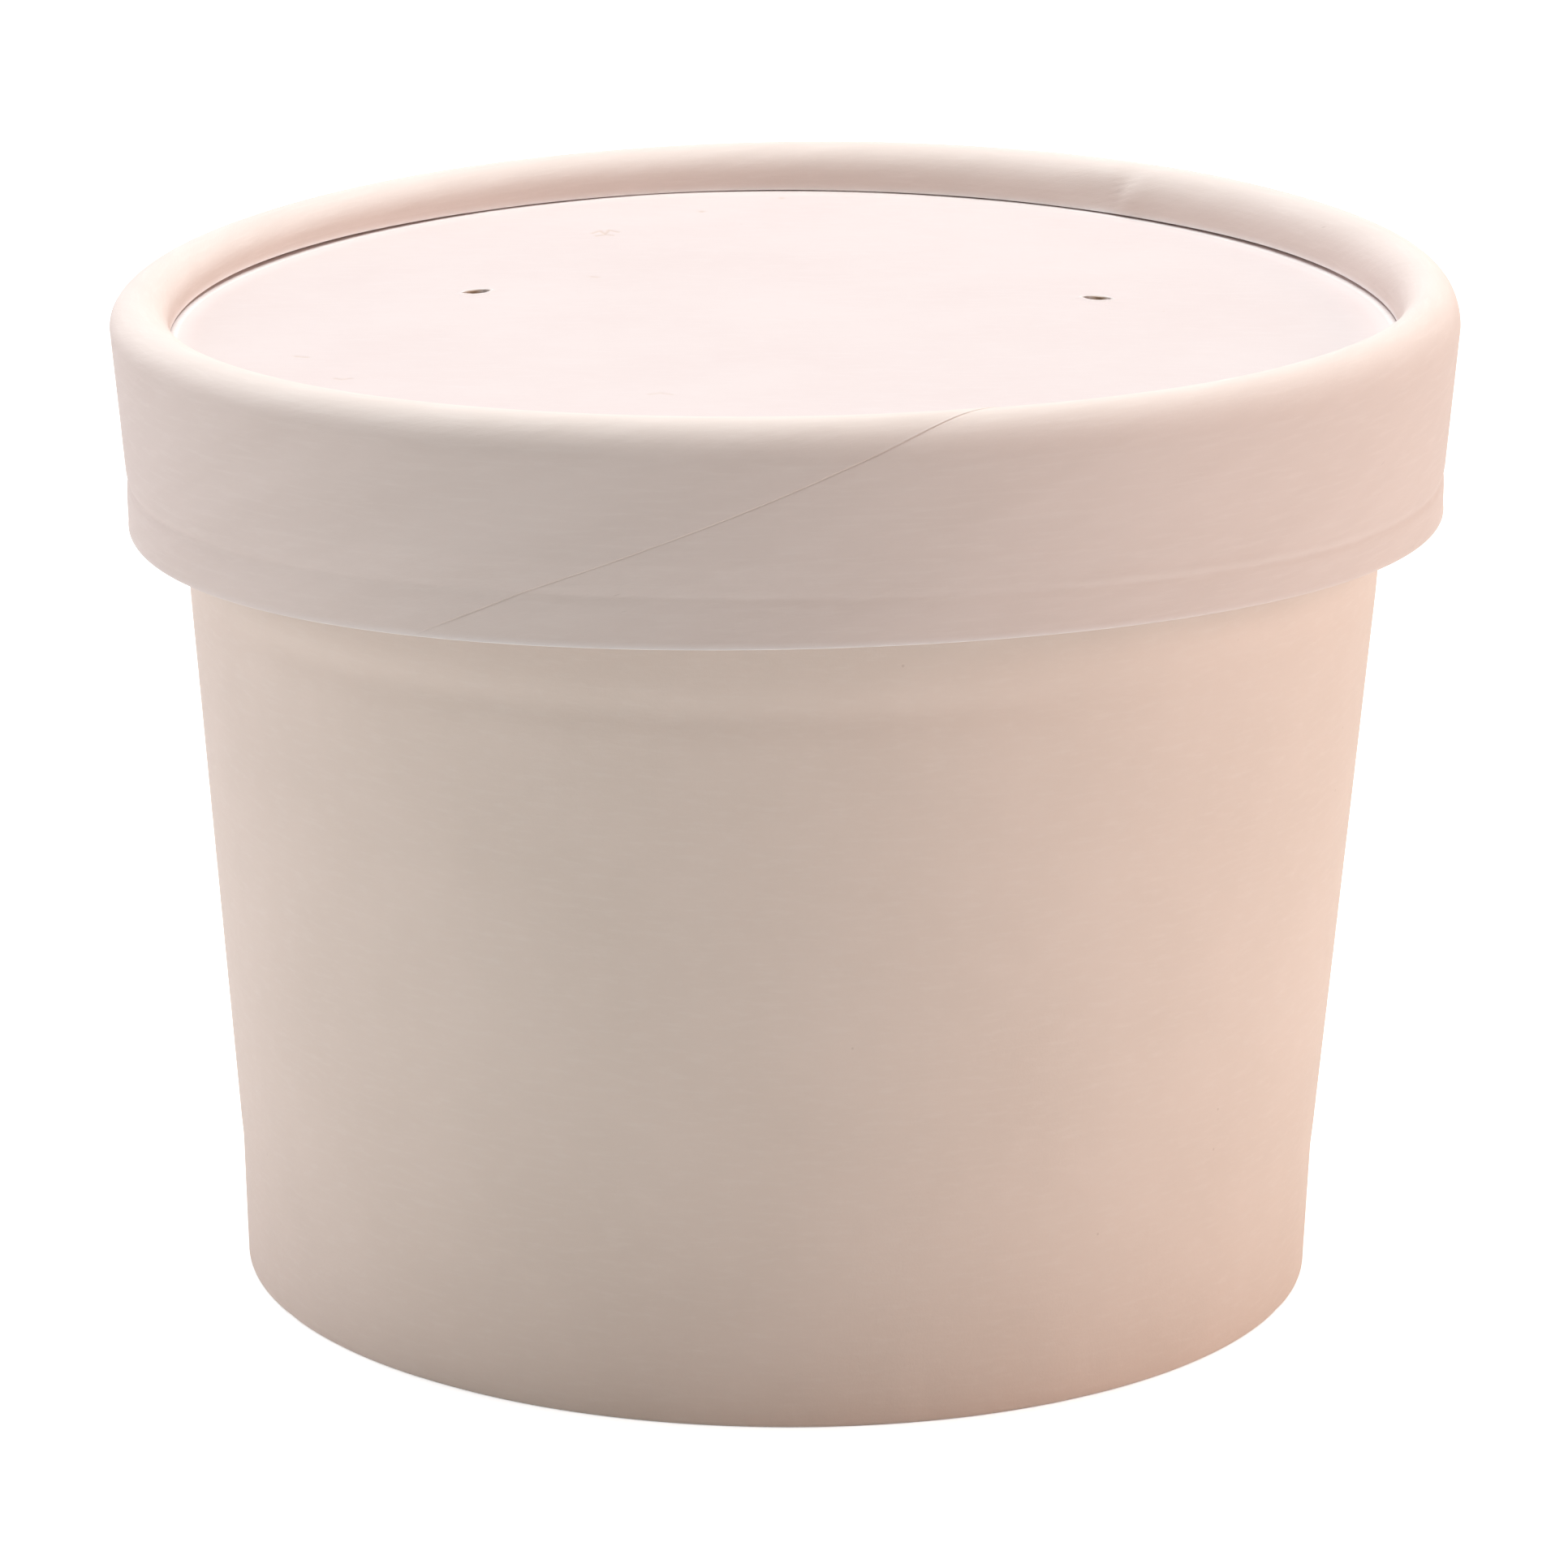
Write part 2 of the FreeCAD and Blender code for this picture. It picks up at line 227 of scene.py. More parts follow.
@dataclass(frozen=True)
class PaperFinish:
    """A matte paper board: clouded tone, fibres, specks, pale raw edges and rubbed marks, with
    painted highlights in its edge tone and painted shade in its mark tone.
    """

    name: str
    tone: Colour
    cloud_tone: Colour
    fibre_tone: Colour
    edge_and_highlight_tone: Colour
    mark_and_shade_tone: Colour
    grain: Grain = Grain.ROUND
    cloud_size: float = 14 * MM
    fibre_size: float = 0.5 * MM
    fibre_stretch: float = 5.0
    fibre_strength: float = 0.55
    felt_size: float = 1.3 * MM
    speck_spacing: float = 3.2 * MM
    speck_radius: float = 0.11 * MM
    speck_share: float = 0.14
    speck_strength: float = 0.28
    noise_roughness: float = 0.6
    relief: float = 0.035 * MM
    felt_relief: float = 0.7
    fibre_relief: float = 0.35
    tooth_relief: float = 0.2
    roughness: float = 0.84
    roughness_swing: float = 0.06
    shine: float = 0.28

    def place(self, graph: Graph) -> Socket:
        """Give the coordinates, in metres, that the board's grain follows.

        Args:
            graph: The graph to add the nodes to.

        Returns:
            The place, as a socket.
        """
        if self.grain is Grain.ROUND:
            return graph.out("ShaderNodeUVMap", uv_map=TurnTree.BOARD_MAP)
        return graph.add("ShaderNodeTexCoord").outputs["Object"]

    def noise(self, graph: Graph, place: Feed, size: float, detail: float) -> Socket:
        """Give a noise whose patches have a size in metres."""
        return graph.out("ShaderNodeTexNoise", {
            "Vector": place, "Scale": 1.0 / size, "Detail": detail,
            "Roughness": self.noise_roughness})

    def specks(self, graph: Graph, place: Feed) -> Socket:
        """Give small sparse inclusions, 1 inside a speck and 0 elsewhere.

        Args:
            graph: The graph to add the nodes to.
            place: Where on the paper.

        Returns:
            The share, as a socket.
        """
        cells = graph.add("ShaderNodeTexVoronoi", {
            "Vector": place, "Scale": 1.0 / self.speck_spacing})
        share = self.speck_radius / self.speck_spacing
        inside = graph.reach(
            cells.outputs["Distance"], share * 0.4, share * 1.4, 1.0, 0.0, smooth=True)
        chosen = graph.out("ShaderNodeSeparateColor", {0: cells.outputs["Color"]})
        return graph.times(inside, graph.math("GREATER_THAN", chosen, 1.0 - self.speck_share))

    def make(self) -> bpy.types.Material:
        """Build the material.

        Returns:
            The finished material.
        """
        material = bpy.data.materials.new(self.name)
        material.use_nodes = True
        graph = Graph(material.node_tree)
        place = self.place(graph)
        long_way = graph.out("ShaderNodeMapping", {
            0: place, 3: (1.0 / self.fibre_stretch, 1.0, 1.0)})
        cloud = self.noise(graph, place, self.cloud_size, 3.0)
        fibre = self.noise(graph, long_way, self.fibre_size, 5.0)
        felt = self.noise(graph, place, self.felt_size, 4.0)
        tooth = self.noise(graph, place, self.fibre_size * 0.35, 2.0)
        # Edge share: pale raw edges and painted highlights. Mark share: specks, seam lines, rubbed
        # marks and painted shade in the panel's slits.
        edge, mark = (graph.add("ShaderNodeAttribute", attribute_name=name).outputs["Fac"]
                      for name in ("edge", "mark"))
        pale_edge_and_highlight = graph.times(edge, graph.reach(felt, 0.3, 0.6, 0.75, 1.0))
        tone: Feed = (*self.tone, 1.0)
        for share, colour in (
                (graph.reach(cloud, 0.35, 0.7), self.cloud_tone),
                (graph.reach(fibre, 0.5, 0.78, 0.0, self.fibre_strength), self.fibre_tone),
                (graph.times(self.specks(graph, place), self.speck_strength), self.mark_and_shade_tone),
                (pale_edge_and_highlight, self.edge_and_highlight_tone), (mark, self.mark_and_shade_tone)):
            tone = graph.blend(share, tone, (*colour, 1.0))
        height = graph.plus(
            graph.times(felt, self.felt_relief), graph.times(fibre, self.fibre_relief))
        height = graph.plus(height, graph.times(tooth, self.tooth_relief))
        normal = graph.out("ShaderNodeBump", {
            "Height": height, "Strength": 1.0, "Distance": self.relief})
        rough = graph.reach(felt, 0.3, 0.7, self.roughness - self.roughness_swing,
                            self.roughness + self.roughness_swing)
        shader = graph.out("ShaderNodeBsdfPrincipled", {
            "Base Color": tone, "Roughness": rough, "Specular IOR Level": self.shine,
            "Normal": normal})
        graph.add("ShaderNodeOutputMaterial", {0: shader})
        return material


BROWN = (0.42, 0.30, 0.22)
RAW_EDGE = (0.88, 0.80, 0.73)
CUP_FINISH = PaperFinish(
    name="cup_board", tone=(0.84, 0.714, 0.63), cloud_tone=(0.81, 0.688, 0.604),
    fibre_tone=(0.87, 0.76, 0.68), edge_and_highlight_tone=RAW_EDGE, mark_and_shade_tone=BROWN)
BASE_FINISH = PaperFinish(
    name="base_board", tone=(0.79, 0.68, 0.60), cloud_tone=(0.75, 0.64, 0.56),
    fibre_tone=(0.83, 0.73, 0.65), edge_and_highlight_tone=RAW_EDGE, mark_and_shade_tone=BROWN, grain=Grain.FLAT)
# Lid board: its edge tone colours the pale raw edges and, along the band's lower edge, also a
# painted highlight.
LID_FINISH = PaperFinish(
    name="lid_board", tone=(0.796, 0.685, 0.631), cloud_tone=(0.756, 0.646, 0.591),
    fibre_tone=(0.835, 0.734, 0.68), edge_and_highlight_tone=(0.95, 0.89, 0.87), mark_and_shade_tone=(0.40, 0.31, 0.25),
    fibre_stretch=8.0)
# Panel board: its edge tone is a painted highlight round the rim and the slits' lips; its mark tone
# serves rubbed marks and painted shade on the slits' cut walls.
PANEL_FINISH = PaperFinish(
    name="panel_board", tone=(0.718, 0.614, 0.592), cloud_tone=(0.702, 0.59, 0.568),
    fibre_tone=(0.735, 0.638, 0.62), edge_and_highlight_tone=(0.9, 0.85, 0.83), mark_and_shade_tone=(0.56, 0.40, 0.29),
    grain=Grain.FLAT)


class SocketKind(Enum):
    """The kinds of input that a shape tree offers."""

    GEOMETRY = "NodeSocketGeometry"
    NUMBER = "NodeSocketFloat"
    COUNT = "NodeSocketInt"
    FINISH = "NodeSocketMaterial"


class ShapeTree:
    """A Geometry Nodes tree with named inputs, run on an object and baked into its mesh."""

    NAME = "shape"
    INPUTS: Dict[str, SocketKind] = {}

    def __init__(self) -> None:
        """Build the tree with its inputs and its output."""
        self.group = bpy.data.node_groups.new(self.NAME, "GeometryNodeTree")
        self.sockets: Dict[str, str] = {}
        face = self.group.interface
        for way in ("OUTPUT", "INPUT"):
            face.new_socket("Geometry", in_out=way, socket_type=SocketKind.GEOMETRY.value)
        for name, kind in self.INPUTS.items():
            socket = face.new_socket(name, in_out="INPUT", socket_type=kind.value)
            self.sockets[name] = socket.identifier
        graph = Graph(self.group)
        given = graph.add("NodeGroupInput").outputs
        whole = graph.out("GeometryNodeRealizeInstances", {0: self.build(graph, given)})
        dressed = graph.out("GeometryNodeSetMaterial", {
            "Geometry": whole, "Material": given["Finish"]})
        graph.add("NodeGroupOutput", {0: dressed})

    def build(self, graph: Graph, given: bpy.types.NodeOutputs) -> Socket:
        """Add the nodes that make the shape and give its geometry."""
        raise NotImplementedError

    def grow(self, name: str, seed_mesh: bpy.types.Mesh,
             values: Mapping[str, Feed]) -> bpy.types.Object:
        """Run the tree on a mesh and keep the result as a plain mesh.

        Args:
            name: Name of the new piece.
            seed_mesh: The mesh that the tree starts from.
            values: What each named input is set to.

        Returns:
            The piece, with no modifier left on it.
        """
        piece = bpy.data.objects.new(name, seed_mesh)
        bpy.context.scene.collection.objects.link(piece)
        modifier = piece.modifiers.new(self.NAME, "NODES")
        modifier.node_group = self.group
        for key, value in values.items():
            modifier[self.sockets[key]] = value
        graph = bpy.context.evaluated_depsgraph_get()
        grown = bpy.data.meshes.new_from_object(
            piece.evaluated_get(graph), preserve_all_data_layers=True, depsgraph=graph)
        piece.modifiers.clear()
        piece.data = grown
        grown.name = name
        bpy.data.meshes.remove(seed_mesh)
        return piece


class TurnTree(ShapeTree):
    """Turns an outline of board about the upright axis, with one lapped seam.

    Each point of the outline carries the way out of the board, how far along the outline it
    lies and how far the seam has slanted round by then.  Columns crowd together at the seam,
    so that its step is crisp.
    """

    NAME = "turned_board"
    BOARD_MAP = "board"
    MAP_RADIUS = 46 * MM
    INPUTS = {"Steps": SocketKind.COUNT, **dict.fromkeys((
        "Crowding", "Seam Angle", "Seam Step", "Seam Drop", "Seam Lap", "Seam Ramp",
        "Unevenness", "Patch Size", "Seed"), SocketKind.NUMBER), "Finish": SocketKind.FINISH}

    def sampled(self, graph: Graph, outline: Feed, name: str, row: Feed,
                kind: str = "FLOAT") -> Socket:
        """Read a stored value of the outline at a row of the grid.

        Args:
            graph: The graph to add the nodes to.
            outline: The outline to read.
            name: The attribute to read.
            row: The spot on the outline to read it at.
            kind: The kind of value it is.

        Returns:
            The value, as a socket.
        """
        value = graph.out("GeometryNodeInputNamedAttribute", {"Name": name}, data_type=kind)
        node = graph.add("GeometryNodeSampleIndex", data_type=kind, domain="POINT", clamp=True)
        for socket, content in (("Geometry", outline), ("Value", value), ("Index", row)):
            graph.feed(node.inputs[socket], content)
        return node.outputs[0]

    def lap_lift(self, graph: Graph, given: bpy.types.NodeOutputs, apart: Feed) -> Socket:
        """Give the height of the lap at a distance round from the seam's edge.

        Args:
            graph: The graph to add the nodes to.
            given: The tree's inputs.
            apart: The way round from the seam.

        Returns:
            The lift, as a socket.
        """
        lap_start = graph.times(given["Seam Lap"], -1.0)
        ramp_start = graph.math("SUBTRACT", lap_start, given["Seam Ramp"])
        rise = graph.reach(apart, ramp_start, lap_start, smooth=True)
        fall = graph.reach(apart, 0.0, given["Seam Drop"], 1.0, 0.0)
        return graph.times(graph.times(rise, fall), given["Seam Step"])

    def build(self, graph: Graph, given: bpy.types.NodeOutputs) -> Socket:
        """Add the nodes that turn the outline.

        Args:
            graph: The tree under construction.
            given: The tree's inputs.

        Returns:
            The geometry of the turned board.
        """
        outline = given["Geometry"]
        rows = graph.out("GeometryNodeAttributeDomainSize", {0: outline}, component="MESH")
        grid = graph.add("GeometryNodeMeshGrid", {
            "Size X": 1.0, "Size Y": 1.0, "Vertices X": graph.plus(given["Steps"], 1.0),
            "Vertices Y": rows})
        here = graph.parts(graph.out("GeometryNodeInputPosition"))
        last = graph.math("SUBTRACT", rows, 1.0)
        row = graph.math("ROUND", graph.times(graph.plus(here[1], 0.5), last))
        spot, outward = (graph.parts(self.sampled(graph, outline, name, row, "FLOAT_VECTOR"))
                         for name in ("position", "outward"))
        along, slant = (self.sampled(graph, outline, name, row) for name in ("along", "slant"))
        radius, level = spot[0], spot[2]
        way = graph.times(graph.plus(here[0], 0.5), 2 * math.pi)
        swing = graph.math("SUBTRACT", way, graph.times(graph.math("SINE", way), given["Crowding"]))
        signed = graph.math("WRAP", swing, math.pi, -math.pi)
        angle = graph.plus(graph.plus(swing, slant), given["Seam Angle"])
        cosine, sine = graph.math("COSINE", angle), graph.math("SINE", angle)
        round_spot = graph.vector(graph.times(radius, cosine), graph.times(radius, sine), level)
        patches = graph.out("ShaderNodeTexNoise", {
            "Vector": round_spot, "W": given["Seed"],
            "Scale": graph.math("DIVIDE", 1.0, given["Patch Size"]),
            "Detail": 2.0}, noise_dimensions="4D")
        wave = graph.times(graph.math("SUBTRACT", patches, 0.5), 2.0)
        lift = graph.plus(self.lap_lift(graph, given, graph.times(signed, radius)),
                          graph.times(wave, given["Unevenness"]))
        reach = graph.math("MULTIPLY_ADD", lift, outward[0], radius)
        final = graph.vector(graph.times(reach, cosine), graph.times(reach, sine),
                             graph.math("MULTIPLY_ADD", lift, outward[2], level))
        mapped = graph.vector(graph.times(swing, self.MAP_RADIUS), along)
        laid = self.stored(graph, grid.outputs["Mesh"], self.BOARD_MAP, mapped, "FLOAT2", "CORNER")
        laid = self.stored(graph, laid, "swing", signed)
        laid = self.stored(graph, laid, "along", along)
        moved = graph.out("GeometryNodeSetPosition", {"Geometry": laid, "Position": final})
        return graph.out("GeometryNodeMergeByDistance", {
            "Geometry": moved, "Distance": MERGE_DISTANCE})

    def stored(self, graph: Graph, shape: Feed, name: str, value: Feed, kind: str = "FLOAT",
               domain: str = "POINT") -> Socket:
        """Store a value on the geometry under a name.

        Args:
            graph: The graph to add the nodes to.
            shape: The shape to store it on.
            name: Name of the attribute.
            value: What to store.
            kind: The kind of value it is.
            domain: What each value belongs to.

        Returns:
            The shape with the attribute, as a socket.
        """
        node = graph.add("GeometryNodeStoreNamedAttribute", {"Geometry": shape, "Name": name},
                         data_type=kind, domain=domain)
        slot = next(slot for slot in node.inputs if slot.name == "Value" and slot.enabled)
        graph.feed(slot, value)
        return node.outputs[0]


class RibTree(ShapeTree):
    """Stands a short pressed rib on every point of a ring, each turned to face inwards."""

    NAME = "knurled_ring"
    INPUTS = {"Count": SocketKind.COUNT, **dict.fromkeys((
        "Radius", "Level", "Rib Length", "Rib Width", "Rib Depth"), SocketKind.NUMBER),
        "Seed": SocketKind.COUNT, "Finish": SocketKind.FINISH}

    def build(self, graph: Graph, given: bpy.types.NodeOutputs) -> Socket:
        """Add the nodes that set the ribs round the ring.

        Args:
            graph: The tree under construction.
            given: The tree's inputs.

        Returns:
            The geometry of all the ribs.
        """
        ring = graph.out("GeometryNodeMeshCircle", {
            "Vertices": given["Count"], "Radius": given["Radius"]})
        raised = graph.out("GeometryNodeSetPosition", {
            "Geometry": ring, "Offset": graph.vector(up=given["Level"])})
        ball = graph.out("GeometryNodeMeshUVSphere", {"Segments": 8, "Rings": 6, "Radius": 0.5})
        step = graph.math("DIVIDE", 2 * math.pi, given["Count"])
        turn = graph.vector(up=graph.times(graph.out("GeometryNodeInputIndex"), step))
        luck = graph.add("FunctionNodeRandomValue", {"Seed": given["Seed"]}, data_type="FLOAT")
        for socket, number in zip([s for s in luck.inputs if s.enabled][:2], (0.8, 1.0)):
            socket.default_value = number
        chance = next(socket for socket in luck.outputs if socket.enabled)
        length = graph.times(given["Rib Length"], chance)
        size = graph.vector(given["Rib Depth"], given["Rib Width"], length)
        return graph.out("GeometryNodeInstanceOnPoints", {
            "Points": raised, "Instance": ball, "Rotation": turn, "Scale": size})


@dataclass
class Outline:
    """An outline of board in the plane of radius and height, walked with the board on its left."""

    spots: List[Spot]

    def run(self, end: Spot, pieces: int = 1) -> None:
        """Go straight on to a spot in a number of equal pieces.

        Args:
            end: The spot to go to.
            pieces: How many pieces it is walked in.
        """
        across, up = self.spots[-1]
        for number in range(1, pieces + 1):
            share = number / pieces
            self.spots.append((across + (end[0] - across) * share, up + (end[1] - up) * share))

    def sweep(self, middle: Spot, radius: float, first: float, last: float, pieces: int,
              rise: Optional[float] = None) -> None:
        """Go round an arc, or part of an oval.

        Args:
            middle: The arc's centre.
            radius: Its radius.
            first: Angle at which it starts, in degrees, 0 being outwards and 90 upwards.
            last: Angle at which it ends, in degrees.
            pieces: How many pieces it is walked in.
            rise: The oval's half height, where it differs from the radius.
        """
        height = radius if rise is None else rise
        for number in range(pieces + 1):
            angle = (first + (last - first) * number / pieces) * DEGREE
            self.spots.append(
                (middle[0] + radius * math.cos(angle), middle[1] + height * math.sin(angle)))

    def lengths(self) -> np.ndarray:
        """Distance walked up to each spot."""
        steps = np.hypot(*np.diff(np.array(self.spots), axis=0).T)
        return np.concatenate([[0.0], np.cumsum(steps)])

    def ways_out(self, closed: bool) -> np.ndarray:
        """Direction out of the board at each spot, as radius and height.

        Args:
            closed: True where the outline ends where it starts.

        Returns:
            One direction for each spot.
        """
        places = np.array(self.spots)
        if closed:
            ahead = np.roll(places[:-1], -1, axis=0) - np.roll(places[:-1], 1, axis=0)
            ahead = np.vstack([ahead, ahead[:1]])
        else:
            ahead = np.gradient(places, axis=0)
        ahead /= np.maximum(np.hypot(*ahead.T)[:, None], 1e-12)
        return np.column_stack([ahead[:, 1], -ahead[:, 0]])

    def mesh(self, name: str, along: np.ndarray, slant: np.ndarray, relief: np.ndarray,
             closed: bool = False) -> bpy.types.Mesh:
        """Make the mesh that a TurnTree starts from.

        Args:
            name: Name of the mesh.
            along: Distance along the board at each spot, in metres.
            slant: How far the seam has slanted round at each spot, in radians.
            relief: Share of the surface's relief that each spot takes.
            closed: True where the outline ends where it starts.

        Returns:
            A mesh of points with the attributes that the tree reads.
        """
        shape = bpy.data.meshes.new(name)
        shape.from_pydata([(across, 0.0, up) for across, up in self.spots], [], [])
        out = self.ways_out(closed) * relief[:, None]
        outward = shape.attributes.new("outward", "FLOAT_VECTOR", "POINT")
        outward.data.foreach_set("vector", np.insert(out, 1, 0.0, axis=1).ravel())
        for label, numbers in (("along", along), ("slant", slant)):
            shape.attributes.new(label, "FLOAT", "POINT").data.foreach_set("value", numbers)
        return shape


@dataclass
class Surface:
    """The points of a finished mesh as arrays, to be pushed in and out and written back."""

    piece: bpy.types.Object

    def __post_init__(self) -> None:
        """Read the points and their normals."""
        mesh = self.piece.data
        self.points = np.empty(len(mesh.vertices) * 3)
        mesh.vertices.foreach_get("co", self.points)
        self.points = self.points.reshape(-1, 3)
        self.normals = np.array([tuple(vertex.normal) for vertex in mesh.vertices])

    def radius(self) -> np.ndarray:
        """Distance of each point from the upright axis."""
        return np.hypot(*self.points[:, :2].T)

    def turn(self) -> np.ndarray:
        """Turn of each point round from the front."""
        return turned_to(np.arctan2(self.points[:, 1], self.points[:, 0]), FRONT)

    def read(self, name: str) -> np.ndarray:
        """Read one number for each point from a stored attribute.

        Args:
            name: The attribute to read.

        Returns:
            One value for each point.
        """
        numbers = np.empty(len(self.points))
        self.piece.data.attributes[name].data.foreach_get("value", numbers)
        return numbers

    def write(self, name: str, numbers: np.ndarray) -> None:
        """Store one share between 0 and 1 for each point."""
        layer = self.piece.data.attributes.new(name, "FLOAT", "POINT")
        layer.data.foreach_set("value", np.clip(numbers, 0.0, 1.0))

    def push(self, height: np.ndarray) -> None:
        """Move every point out along its normal."""
        self.points = self.points + self.normals * height[:, None]

    def raise_by(self, height: np.ndarray) -> None:
        """Move every point up."""
        self.points[:, 2] += height

    def apply(self, place: Optional[Matrix] = None) -> None:
        """Write the points back, set in place by a matrix if one is given.

        Args:
            place: Where the piece is moved to, where it is moved.
        """
        mesh = self.piece.data
        mesh.vertices.foreach_set("co", self.points.ravel())
        if place is not None:
            mesh.transform(place)
        mesh.update()


def finish_mesh(piece: bpy.types.Object, sharp_angle: float = 50 * DEGREE) -> None:
    """Close a piece's doubles, face it outwards and smooth all but its sharp edges.

    Args:
        piece: The piece to finish.
        sharp_angle: Angle past which an edge stays sharp.
    """
    work = bmesh.new()
    work.from_mesh(piece.data)
    bmesh.ops.remove_doubles(work, verts=work.verts, dist=MERGE_DISTANCE)
    bmesh.ops.dissolve_degenerate(work, edges=work.edges, dist=MERGE_DISTANCE)
    bmesh.ops.recalc_face_normals(work, faces=work.faces)
    for face in work.faces:
        face.smooth = True
    work.to_mesh(piece.data)
    work.free()
    piece.data.set_sharp_from_angle(angle=sharp_angle)


def keep(piece: bpy.types.Object, slot: str, *nodes: str) -> None:
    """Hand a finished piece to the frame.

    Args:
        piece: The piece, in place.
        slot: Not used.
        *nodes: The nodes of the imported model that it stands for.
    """
    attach(piece, BODY)
    if nodes:
        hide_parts(*nodes)
    triangles = sum(len(face.vertices) - 2 for face in piece.data.polygons)
    LOG.info("%s: %d triangles", piece.name, triangles)


def patchy(points: np.ndarray, size: float, seed: float) -> np.ndarray:
    """Give a smooth noise between about -1 and 1 at each point.

    Args:
        points: Places of the points, in metres.
        size: Size of one patch of the noise, in metres.
        seed: A number that picks the noise.

    Returns:
        One number for each point.
    """
    start = Vector((seed, -seed, 2 * seed))
    return np.array([noise.noise(Vector(point) / size + start) for point in points])


@dataclass
class Cup:
    """The tapered cup: a wall with a lap seam, folded up at the foot round a recessed disc."""

    height: float
    rim_radius: float
    foot_radius: float = 40.65 * MM
    kink_radius: float = 41.05 * MM
    kink_height: float = 10.0 * MM
    wall_top_radius: float = 46.05 * MM
    wall_top: float = 68.8 * MM
    board: float = 0.35 * MM
    rim_roll: float = 1.6 * MM
    fold_height: float = 7.4 * MM
    base_level: float = 8.6 * MM
    base_board: float = 0.3 * MM
    base_bend: float = 0.6 * MM
    gap: float = 0.03 * MM
    lap_width: float = 7.0 * MM
    lap_step: float = 0.34 * MM
    lap_drop: float = 0.07 * MM
    lap_ramp: float = 3.5 * MM
    steps: int = 440
    base_steps: int = 192
    rib_count: int = 168
    ring_level: float = 55.0 * MM
    ring: Press = Press(-0.16 * MM, 0.0, 1.2 * MM)
    ring_sway: float = 0.6 * MM
    ring_middle: float = -20 * DEGREE
    ring_reach: Spot = (28 * DEGREE, 62 * DEGREE)

    # Small wrinkles by the foot: turn from the front in degrees, width and depth in millimetres.
    WRINKLES = ((9.9, 1.5, 0.06), (15.95, 0.9, 0.05), (26.4, 1.1, 0.07), (34.1, 0.8, 0.05),
                (-37.4, 1.3, 0.05), (-63.8, 0.9, 0.05), (69.3, 1.2, 0.06))
    # Dark specks in the wall: turn from the front in degrees, height and radius in millimetres.
    DOTS = ((-6.6, 24.6, 0.22), (-0.9, 26.6, 0.2), (23.0, 21.9, 0.25))

    @classmethod
    def from_frame(cls) -> "Cup":
        """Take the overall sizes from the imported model."""
        low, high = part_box("cup_body")
        return cls(height=high.z - low.z, rim_radius=(high.x - low.x) / 2)

    @property
    def fold(self) -> float:
        """Thickness of the foot, with the disc's flange held in its fold."""
        return 2 * self.board + self.base_board + 2 * self.gap

    def foot(self, level: float, depth: float = 0.0) -> float:
        """Radius of the foot at a level, some depth in from its outside."""
        share = level / self.kink_height
        return self.foot_radius + (self.kink_radius - self.foot_radius) * share - depth

    def wall_outline(self) -> Outline:
        """The wall's section, closed over the base disc and at the middle of the rim.

        Returns:
            The outline.
        """
        seat = self.base_level + self.base_board
        slot_floor, slot_back = 2 * self.board, self.fold - self.board
        rim_middle = self.rim_radius - self.rim_roll, self.height - self.rim_roll
        inner, outer = self.foot(self.board, self.fold), self.foot(self.board)
        outline = Outline([(0.0, seat)])
        for level, depth, pieces in (
                (seat, self.board, 12), (slot_floor, self.board, 8), (slot_floor, slot_back, 1),
                (self.fold_height, slot_back, 8), (self.fold_height, self.fold, 2),
                (self.board, self.fold, 10)):
            outline.run((self.foot(level, depth), level), pieces)
        outline.sweep((inner + self.board, self.board), self.board, 180.0, 270.0, 5)
        outline.sweep((outer - self.board, self.board), self.board, 270.0, 360.0, 7)
        for out, up, pieces in ((-0.06, -1.2, 22), (0.0, 0.0, 3), (0.13, 1.2, 3)):
            outline.run((self.kink_radius + out * MM, self.kink_height + up * MM), pieces)
        outline.run((self.wall_top_radius, self.wall_top), 78)
        outline.sweep(rim_middle, self.rim_roll, -140.0, 180.0, 26)
        outline.run((0.0, rim_middle[1]), 8)
        return outline

    def shape_wall(self, wall: bpy.types.Object) -> None:
        """Press the soft ring, the little wrinkles by the foot and the specks into the wall.

        Args:
            wall: The turned wall.
        """
        surface = Surface(wall)
        turn, level, radius = surface.turn(), surface.points[:, 2], surface.radius()
        outside = (radius > self.foot_radius - 0.2 * MM) * (level < self.wall_top)
        reach = 1.0 - ease(np.abs(turn - self.ring_middle), *self.ring_reach)
        ring_level = self.ring_level + self.ring_sway * np.sin(turn)
        relief = self.ring.at(level - ring_level) * (0.2 + 0.8 * reach)
        for spot, width, depth in self.WRINKLES:
            off = turned_to(turn, spot * DEGREE) * radius
            relief -= depth * MM * bump(off, width * MM) * bump(level - 2.5 * MM, 4.0 * MM)
        surface.push(relief * outside)
        surface.points[:, 2] = np.maximum(surface.points[:, 2], 0.0)
        low_edge = 0.5 * bump(level, 0.25 * MM) * (radius > self.foot_radius - 0.9 * MM)
        lap_edge = 0.8 * bump(surface.read("swing") * radius, 0.16 * MM) * outside
        surface.write("edge", np.maximum(low_edge, lap_edge))
        dots = np.zeros(len(level))
        for spot, height, size in self.DOTS:
            across = turned_to(turn, spot * DEGREE) * radius
            dots += bump(np.hypot(across, level - height * MM), size * MM)
        surface.write("mark", 0.25 * np.clip(dots, 0.0, 1.0))
        surface.apply()

